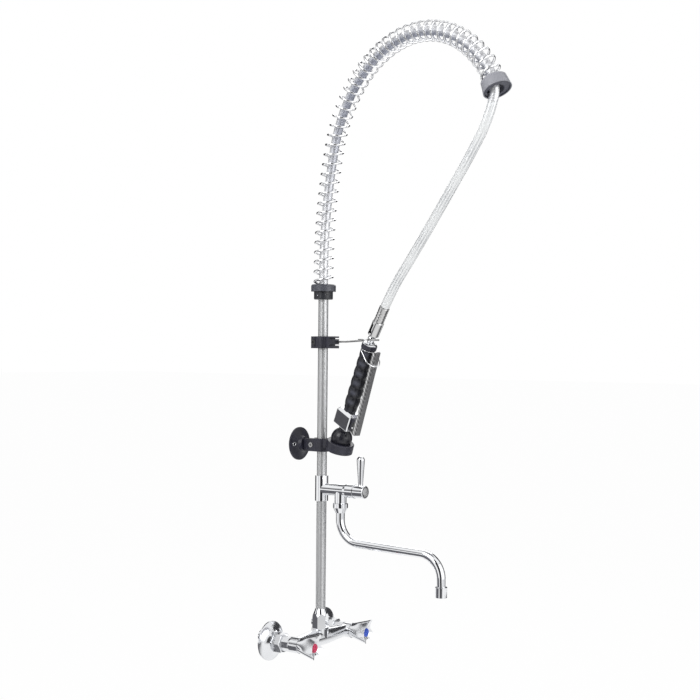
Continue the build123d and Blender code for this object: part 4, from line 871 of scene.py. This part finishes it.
class AddTrim(bpy.types.Operator):
    """Cap dome, cap wire and bell lip of the gun, lever tip, hub disc with its seal, and eyelets"""

    bl_idname = "faucet.add_trim"
    bl_label = "Trim"

    def execute(self, context):
        piece("cap_dome", turned("cap_dome", BALL, GUN_UP, DOME, 96), "chrome", "gun", 40)
        for name, (radius, along), look, slot in (
            ("grip_wire", CAP_RING, "chrome", "chrome"), ("bell_lip", BELL_RING, "rubber", "rubber"),
        ):
            mesh = band(name, BALL + along * GUN_UP, GUN_OUT, SIDE, radius, 0.0005)
            piece(name, mesh, look, "gun")

        # Lever tip: shrinking rings of a squared ellipse, |cos a|^p half width by |sin a|^p half depth
        scale, rise = np.array(TIP_RINGS).T[..., None, None]
        outline = ring(np.array([1.0, 0.0]), np.array([0.0, 1.0]), 64)
        outline = np.sign(outline) * np.abs(outline) ** TIP_POWER * (TIP_HALF, TIP_DEPTH)
        middle = BALL + (LEVER_FACE - TIP_INSET) * LEVER_OUT + TIP_ALONG * LEVER_RUN
        points = middle + scale * (outline @ np.array([SIDE, LEVER_OUT])) + 0.001 * rise * LEVER_RUN
        piece("lever_tip", grid_mesh("lever_tip", points[:, ::-1]), "nickel", "lever", 40)

        piece("hub_disc", turned("hub_disc", HUB_END, ROOM, HUB_DISC), "satin", "tap", 40)
        seal = band("hub_seal", HUB_END, ACROSS, UP, SEAL_RADIUS, 0.0006)
        piece("hub_seal", seal, "rubber", "tap")

        for number, way in enumerate((-1, 1)):
            name = f"eyelet_{number}"
            middle = np.array([way * EYELET_ASIDE, *EYELET_PLACE])
            flat = np.array([-cos(EYELET_TURN), -way * sin(EYELET_TURN), 0.0])
            piece(name, band(name, middle, flat, UP, EYELET_RADIUS, 0.0005), "chrome", "root")
        return {"FINISHED"}


class SpringProps(bpy.types.PropertyGroup):
    """Sizes of the support spring"""

    turns: bpy.props.IntProperty(
        name="Turns", description="Number of coils", default=45, min=8, max=100
    )
    wire: bpy.props.FloatProperty(
        name="Wire", description="Wire diameter",
        default=2 * WIRE_RADIUS, min=0.001, max=0.008, unit="LENGTH",
    )
    outer: bpy.props.FloatProperty(
        name="Outside", description="Outside diameter of the coils",
        default=0.0346, min=0.02, max=0.06, unit="LENGTH",
    )
    steps: bpy.props.IntProperty(
        name="Steps", description="Points along each coil", default=56, min=24, max=96
    )


class AddSpring(bpy.types.Operator):
    """Support spring, one round wire coiled about the arch"""

    bl_idname = "faucet.add_spring"
    bl_label = "Spring"

    def execute(self, context):
        props = context.scene.faucet_spring
        turn = np.linspace(0, props.turns, props.turns * props.steps + 1)
        out, level, heading = arch(SPRING_LENGTH * turn / props.turns, SPRING_FOOT)
        angle, heading = 2 * np.pi * turn[:, None], heading[:, None]
        lift = np.cos(angle) * (np.cos(heading) * ARM - np.sin(heading) * UP) + np.sin(angle) * SIDE
        path = arm_point(out, level) + (props.outer - props.wire) / 2 * lift
        mesh = tube("spring_wire", path, lift, props.wire / 2, 14)
        item = piece("spring_wire", mesh, "wire", "root", 40)
        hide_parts("spring")
        return {"FINISHED"}


class AddInnerHose(bpy.types.Operator):
    """Hose inside the spring, from the nipple along the arch and round one last arc to the free hose"""

    bl_idname = "faucet.add_inner_hose"
    bl_label = "Hose in Spring"

    def execute(self, context):
        full = STRAIGHT_TOP - HOSE_FOOT + BENDS_LENGTH + HOSE_LEAVE
        out, level, heading = arch(np.linspace(0, full, 260), HOSE_FOOT)
        path = arm_point(out, level)
        ahead = ARM * sin(heading[-1]) + UP * cos(heading[-1])
        chord = arm_point(*HOSE_ROUTE[0]) - path[-1]
        inward = unit(np.cross(np.cross(ahead, chord), ahead))
        radius = chord @ chord / (2 * chord @ inward)
        swing = np.arctan2(chord @ ahead, radius - chord @ inward)
        step = np.linspace(0, swing, 24)[1:, None]
        bend = path[-1] + radius * (np.sin(step) * ahead + (1 - np.cos(step)) * inward)
        path = np.concatenate([path, bend])
        mesh = tube("inner_hose", path, np.broadcast_to(SIDE, path.shape), HOSE_RADIUS, 40)
        item = piece("inner_hose", mesh, "core", "root", 50)
        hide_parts("hose_in_spring")
        return {"FINISHED"}


class HoseProps(bpy.types.PropertyGroup):
    """Sizes of the free hose"""

    outside: bpy.props.FloatProperty(
        name="Outside", description="Outside diameter of the hose",
        default=2 * HOSE_RADIUS, min=0.008, max=0.03, unit="LENGTH",
    )
    core: bpy.props.FloatProperty(
        name="Core", description="Diameter of the braided core",
        default=0.0126, min=0.006, max=0.028, unit="LENGTH",
    )


def route_line(name, points):
    """Points of the smooth order-3 NURBS line over a route, read from its own curve."""
    curve = bpy.data.curves.new(name, "CURVE")
    curve.dimensions = "3D"
    curve.resolution_u = 24
    spline = curve.splines.new("NURBS")
    spline.points.add(len(points) - 1)
    spline.points.foreach_set("co", np.hstack([points, np.ones((len(points), 1))]).reshape(-1))
    spline.order_u = 3
    spline.use_endpoint_u = True
    holder = add_object(name, curve)
    mesh = bpy.data.meshes.new_from_object(holder)
    line = vertices(mesh)
    bpy.data.objects.remove(holder)
    bpy.data.curves.remove(curve)
    bpy.data.meshes.remove(mesh)
    return line


class AddFreeHose(bpy.types.Operator):
    """Free hose from the collar down to the gun: clear jacket over a pale braid"""

    bl_idname = "faucet.add_free_hose"
    bl_label = "Free Hose"

    def execute(self, context):
        props = context.scene.faucet_hose
        points = np.array([arm_point(*place) for place in HOSE_ROUTE])
        line = route_line("hose_line", points)
        normals = np.broadcast_to(SIDE, line.shape)
        mesh = tube("hose_jacket", line, normals, props.outside / 2, 40)
        jacket = piece("hose_jacket", mesh, "jacket", None, 50)
        mesh = tube("hose_braid", line, normals, props.core / 2, 40)
        core = piece("hose_braid", mesh, "braid", None, 50)
        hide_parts("free_hose")
        for item in (jacket, core):
            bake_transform(item)
        return {"FINISHED"}


class StageProps(bpy.types.PropertyGroup):
    """Camera and light"""

    lens: bpy.props.FloatProperty(
        name="Lens", description="Focal length in millimetres", default=66.34, min=20
    )
    roll: bpy.props.FloatProperty(
        name="Roll", description="Turn of the camera about its own axis",
        default=radians(0.534), subtype="ANGLE",
    )
    azimuth: bpy.props.FloatProperty(
        name="Azimuth", description="Heading of the camera", default=radians(54.84), subtype="ANGLE"
    )
    eye: bpy.props.FloatVectorProperty(
        name="Eye", description="Place of the camera",
        default=(-1.7825, -1.3623, 0.4863), subtype="XYZ", unit="LENGTH",
    )


def seen_white(tree):
    """Light Path sum of camera, glossy and transmission rays."""
    path = tree.nodes.new("ShaderNodeLightPath")
    total = math(tree, "ADD", path.outputs["Is Camera Ray"], path.outputs["Is Glossy Ray"])
    return math(tree, "ADD", total, path.outputs["Is Transmission Ray"], clamp=True)


def add_lamp(name, place, target, size, power):
    """Soft square lamp aimed at a point."""
    data = bpy.data.lights.new(name, "AREA")
    data.size = size
    data.energy = power
    lamp = add_object(name, data)
    lamp.location = place
    lamp.rotation_euler = Vector(target - place).to_track_quat("-Z", "Y").to_euler()


# Cards that only reflections see. Turns of both sides from the camera's side to its right in degrees,
# radius and height of the lower and of the upper edge, grey of the middle, share that fades out to pale
# edges, and how far up the fade the lower and upper edges are: 0 and 1 are pale, 0.5 is full
CARDS = (
    (-27.0, 15.0, 2.6, CARD_FOOT, 2.6, 3.2, 0.035, 0.12, 0.5, 0.5),
    (-36.0, 26.0, 1.0, CARD_FOOT, 2.6, CARD_FOOT, 0.06, 0.8, 0.0, 0.5),
    (-112.0, -42.0, 0.25, CARD_FOOT, 2.6, CARD_FOOT, 0.13, 0.25, 0.1, 0.5),
    (-95.0, -50.0, 2.6, 0.5, 2.6, 1.9, 0.10, 0.9, 0.5, 1.0),
    (107.0, 173.0, 2.6, CARD_FOOT, 2.6, 3.4, 0.05, 0.15, 0.5, 0.5),
    (-173.0, -107.0, 2.6, CARD_FOOT, 2.6, 3.4, 0.05, 0.15, 0.5, 0.5),
    (64.0, 86.0, 2.6, CARD_FOOT, 2.6, 2.6, 0.32, 0.2, 0.5, 0.5),
    (27.0, 33.0, 2.6, CARD_FOOT, 2.6, 2.6, 0.35, 0.2, 0.5, 0.5),
    (-60.0, -52.0, 2.6, CARD_FOOT, 2.6, 0.5, 0.40, 0.2, 0.5, 0.5),
    (50.0, 130.0, 0.45, CARD_FOOT, 2.2, CARD_FOOT, 0.08, 0.4, 0.0, 0.5),
    (-180.0, 180.0, 0.02, 3.2, 1.6, 3.2, 0.14, 0.6, 0.5, 1.0),
)


def card_material(name, shade, fade):
    """Card of one grey, seen as it is written; sin(pi u) sin(pi v) fades it out to its edges."""
    material = bpy.data.materials.new(name)
    material.use_nodes = True
    tree = material.node_tree
    tree.nodes.remove(tree.nodes["Principled BSDF"])
    glow = tree.nodes.new("ShaderNodeEmission")
    split = tree.nodes.new("ShaderNodeSeparateXYZ")
    tree.links.new(tree.nodes.new("ShaderNodeTexCoord").outputs["UV"], split.inputs[0])
    hump = [math(tree, "SINE", math(tree, "MULTIPLY", split.outputs[way], np.pi)) for way in ("X", "Y")]
    inner = math(tree, "MULTIPLY", *hump)
    core = (shade, shade, shade * 1.1)
    tree.links.new(ramp(tree, inner, ((0.0, 0.9), (fade, core))), glow.inputs["Color"])
    tree.links.new(glow.outputs[0], tree.nodes["Material Output"].inputs["Surface"])
    return material


def add_floor():
    """Pale floor that camera and reflections see as nearly plain white, and that keeps the shadow."""
    material = bpy.data.materials.new("Studio Floor")
    material.use_nodes = True
    tree = material.node_tree
    shader = tree.nodes["Principled BSDF"]
    shader.inputs["Base Color"].default_value = (0.88, 0.88, 0.88, 1)
    shader.inputs["Roughness"].default_value = 0.9
    glow = tree.nodes.new("ShaderNodeEmission")
    blend = tree.nodes.new("ShaderNodeMixShader")
    tree.links.new(math(tree, "MULTIPLY", seen_white(tree), 0.97), blend.inputs["Fac"])
    tree.links.new(shader.outputs[0], blend.inputs[1])
    tree.links.new(glow.outputs[0], blend.inputs[2])
    tree.links.new(blend.outputs[0], tree.nodes["Material Output"].inputs["Surface"])
    mesh = bpy.data.meshes.new("floor")
    corners = [(x, y, FLOOR) for x, y in ((-30, -30), (30, -30), (30, 30), (-30, 30))]
    mesh.from_pydata(corners, [], [(0, 1, 2, 3)])
    mesh.materials.append(material)
    item = add_object("floor", mesh)


def add_world(scene):
    """White surroundings, at about half strength for the light that they throw."""
    world = bpy.data.worlds.new("Studio")
    scene.world = world
    world.use_nodes = True
    tree = world.node_tree
    background = tree.nodes["Background"]
    background.inputs["Color"].default_value = (1, 1, 1, 1)
    strength = math(tree, "MULTIPLY_ADD", seen_white(tree), 0.45, 0.55)
    tree.links.new(strength, background.inputs["Strength"])


def add_cards(heading, right):
    """Cards about the riser: riser + radius (sin a * right - cos a * heading) + up * height."""
    rise = np.linspace(0, 1, 9)[:, None, None]
    for number, (start, end, near, low, far, high, shade, fade, first, last) in enumerate(CARDS):
        turn = np.radians(np.linspace(start, end, 17))[:, None]
        way = np.sin(turn) * right - np.cos(turn) * heading
        points = RISER + way * (near + (far - near) * rise) + UP * (low + (high - low) * rise)
        mesh = grid_mesh(f"card_{number}", points, loop_v=False)
        level = first + (last - first) * rise[:, :, 0]
        add_uv(mesh, np.tile(np.linspace(0, 1, 17), (9, 1)), np.repeat(level, 17, 1))
        mesh.materials.append(card_material(mesh.name, shade, fade))
        item = add_object(mesh.name, mesh)
        item.visible_camera = False
        item.visible_diffuse = False
        item.visible_shadow = False
        item.visible_transmission = False


def add_camera(props, heading, right):
    """Camera at the eye, level along the heading and rolled about it."""
    data = bpy.data.cameras.new("camera")
    data.lens = props.lens
    data.sensor_width = 36.0
    data.clip_start = 0.05
    data.clip_end = 200
    camera = add_object("camera", data)
    cam_right = right * cos(props.roll) + UP * sin(props.roll)
    cam_up = UP * cos(props.roll) - right * sin(props.roll)
    columns = np.column_stack([cam_right, cam_up, -heading, np.array(props.eye)])
    camera.matrix_world = Matrix([*columns.tolist(), [0, 0, 0, 1]])
    return camera


class SetStage(bpy.types.Operator):
    """Pale floor, soft studio light, cards for the chrome to reflect, and the camera"""

    bl_idname = "faucet.set_stage"
    bl_label = "Stage"

    def execute(self, context):
        scene = context.scene
        props = scene.faucet_stage
        scene.view_settings.view_transform = "Standard"
        add_floor()
        add_world(scene)
        heading = np.array([sin(props.azimuth), cos(props.azimuth), 0])
        right = np.array([cos(props.azimuth), -sin(props.azimuth), 0])
        add_cards(heading, right)
        target = RISER + UP * 0.4
        add_lamp("key", target - heading * 1.6 - right * 1.3 + UP * 1.3, target, 1.4, 26)
        add_lamp("fill", target - heading * 1.2 + right * 1.6 + UP * 0.4, target, 1.6, 13)
        add_lamp("back", target + heading * 1.8 + right * 0.4 + UP * 1.4, target, 1.4, 14)
        scene.camera = add_camera(props, heading, right)
        return {"FINISHED"}


class FaucetPanel(bpy.types.Panel):
    """Lists the faucet's pieces and their sizes"""

    bl_idname = "VIEW3D_PT_faucet"
    bl_label = "Pre-rinse Faucet"
    bl_space_type = "VIEW_3D"
    bl_region_type = "UI"
    bl_category = "Faucet"

    def draw(self, context):
        layout = self.layout
        for operator in OPERATORS:
            layout.operator(operator.bl_idname)
        scene = context.scene
        for props in (scene.faucet_spring, scene.faucet_hose, scene.faucet_stage):
            for name in props.__annotations__:
                layout.prop(props, name)


OPERATORS = (
    MixerFinish, RiserFinish, BracketFinish, GunFinish,
    AddTrim, AddSpring, AddInnerHose, AddFreeHose, SetStage,
)
CLASSES = (SpringProps, HoseProps, StageProps, *OPERATORS, FaucetPanel)


def register():
    for item in CLASSES:
        bpy.utils.register_class(item)
    bpy.types.Scene.faucet_spring = bpy.props.PointerProperty(type=SpringProps)
    bpy.types.Scene.faucet_hose = bpy.props.PointerProperty(type=HoseProps)
    bpy.types.Scene.faucet_stage = bpy.props.PointerProperty(type=StageProps)


def unregister():
    del bpy.types.Scene.faucet_stage
    del bpy.types.Scene.faucet_hose
    del bpy.types.Scene.faucet_spring
    for item in reversed(CLASSES):
        bpy.utils.unregister_class(item)


def main():
    register()
    bpy.ops.faucet.set_stage()
    bpy.ops.faucet.mixer_finish()
    bpy.ops.faucet.riser_finish()
    bpy.ops.faucet.bracket_finish()
    bpy.ops.faucet.gun_finish()
    bpy.ops.faucet.add_trim()
    bpy.ops.faucet.add_spring()
    bpy.ops.faucet.add_inner_hose()
    bpy.ops.faucet.add_free_hose()


if __name__ == "__main__":
    main()
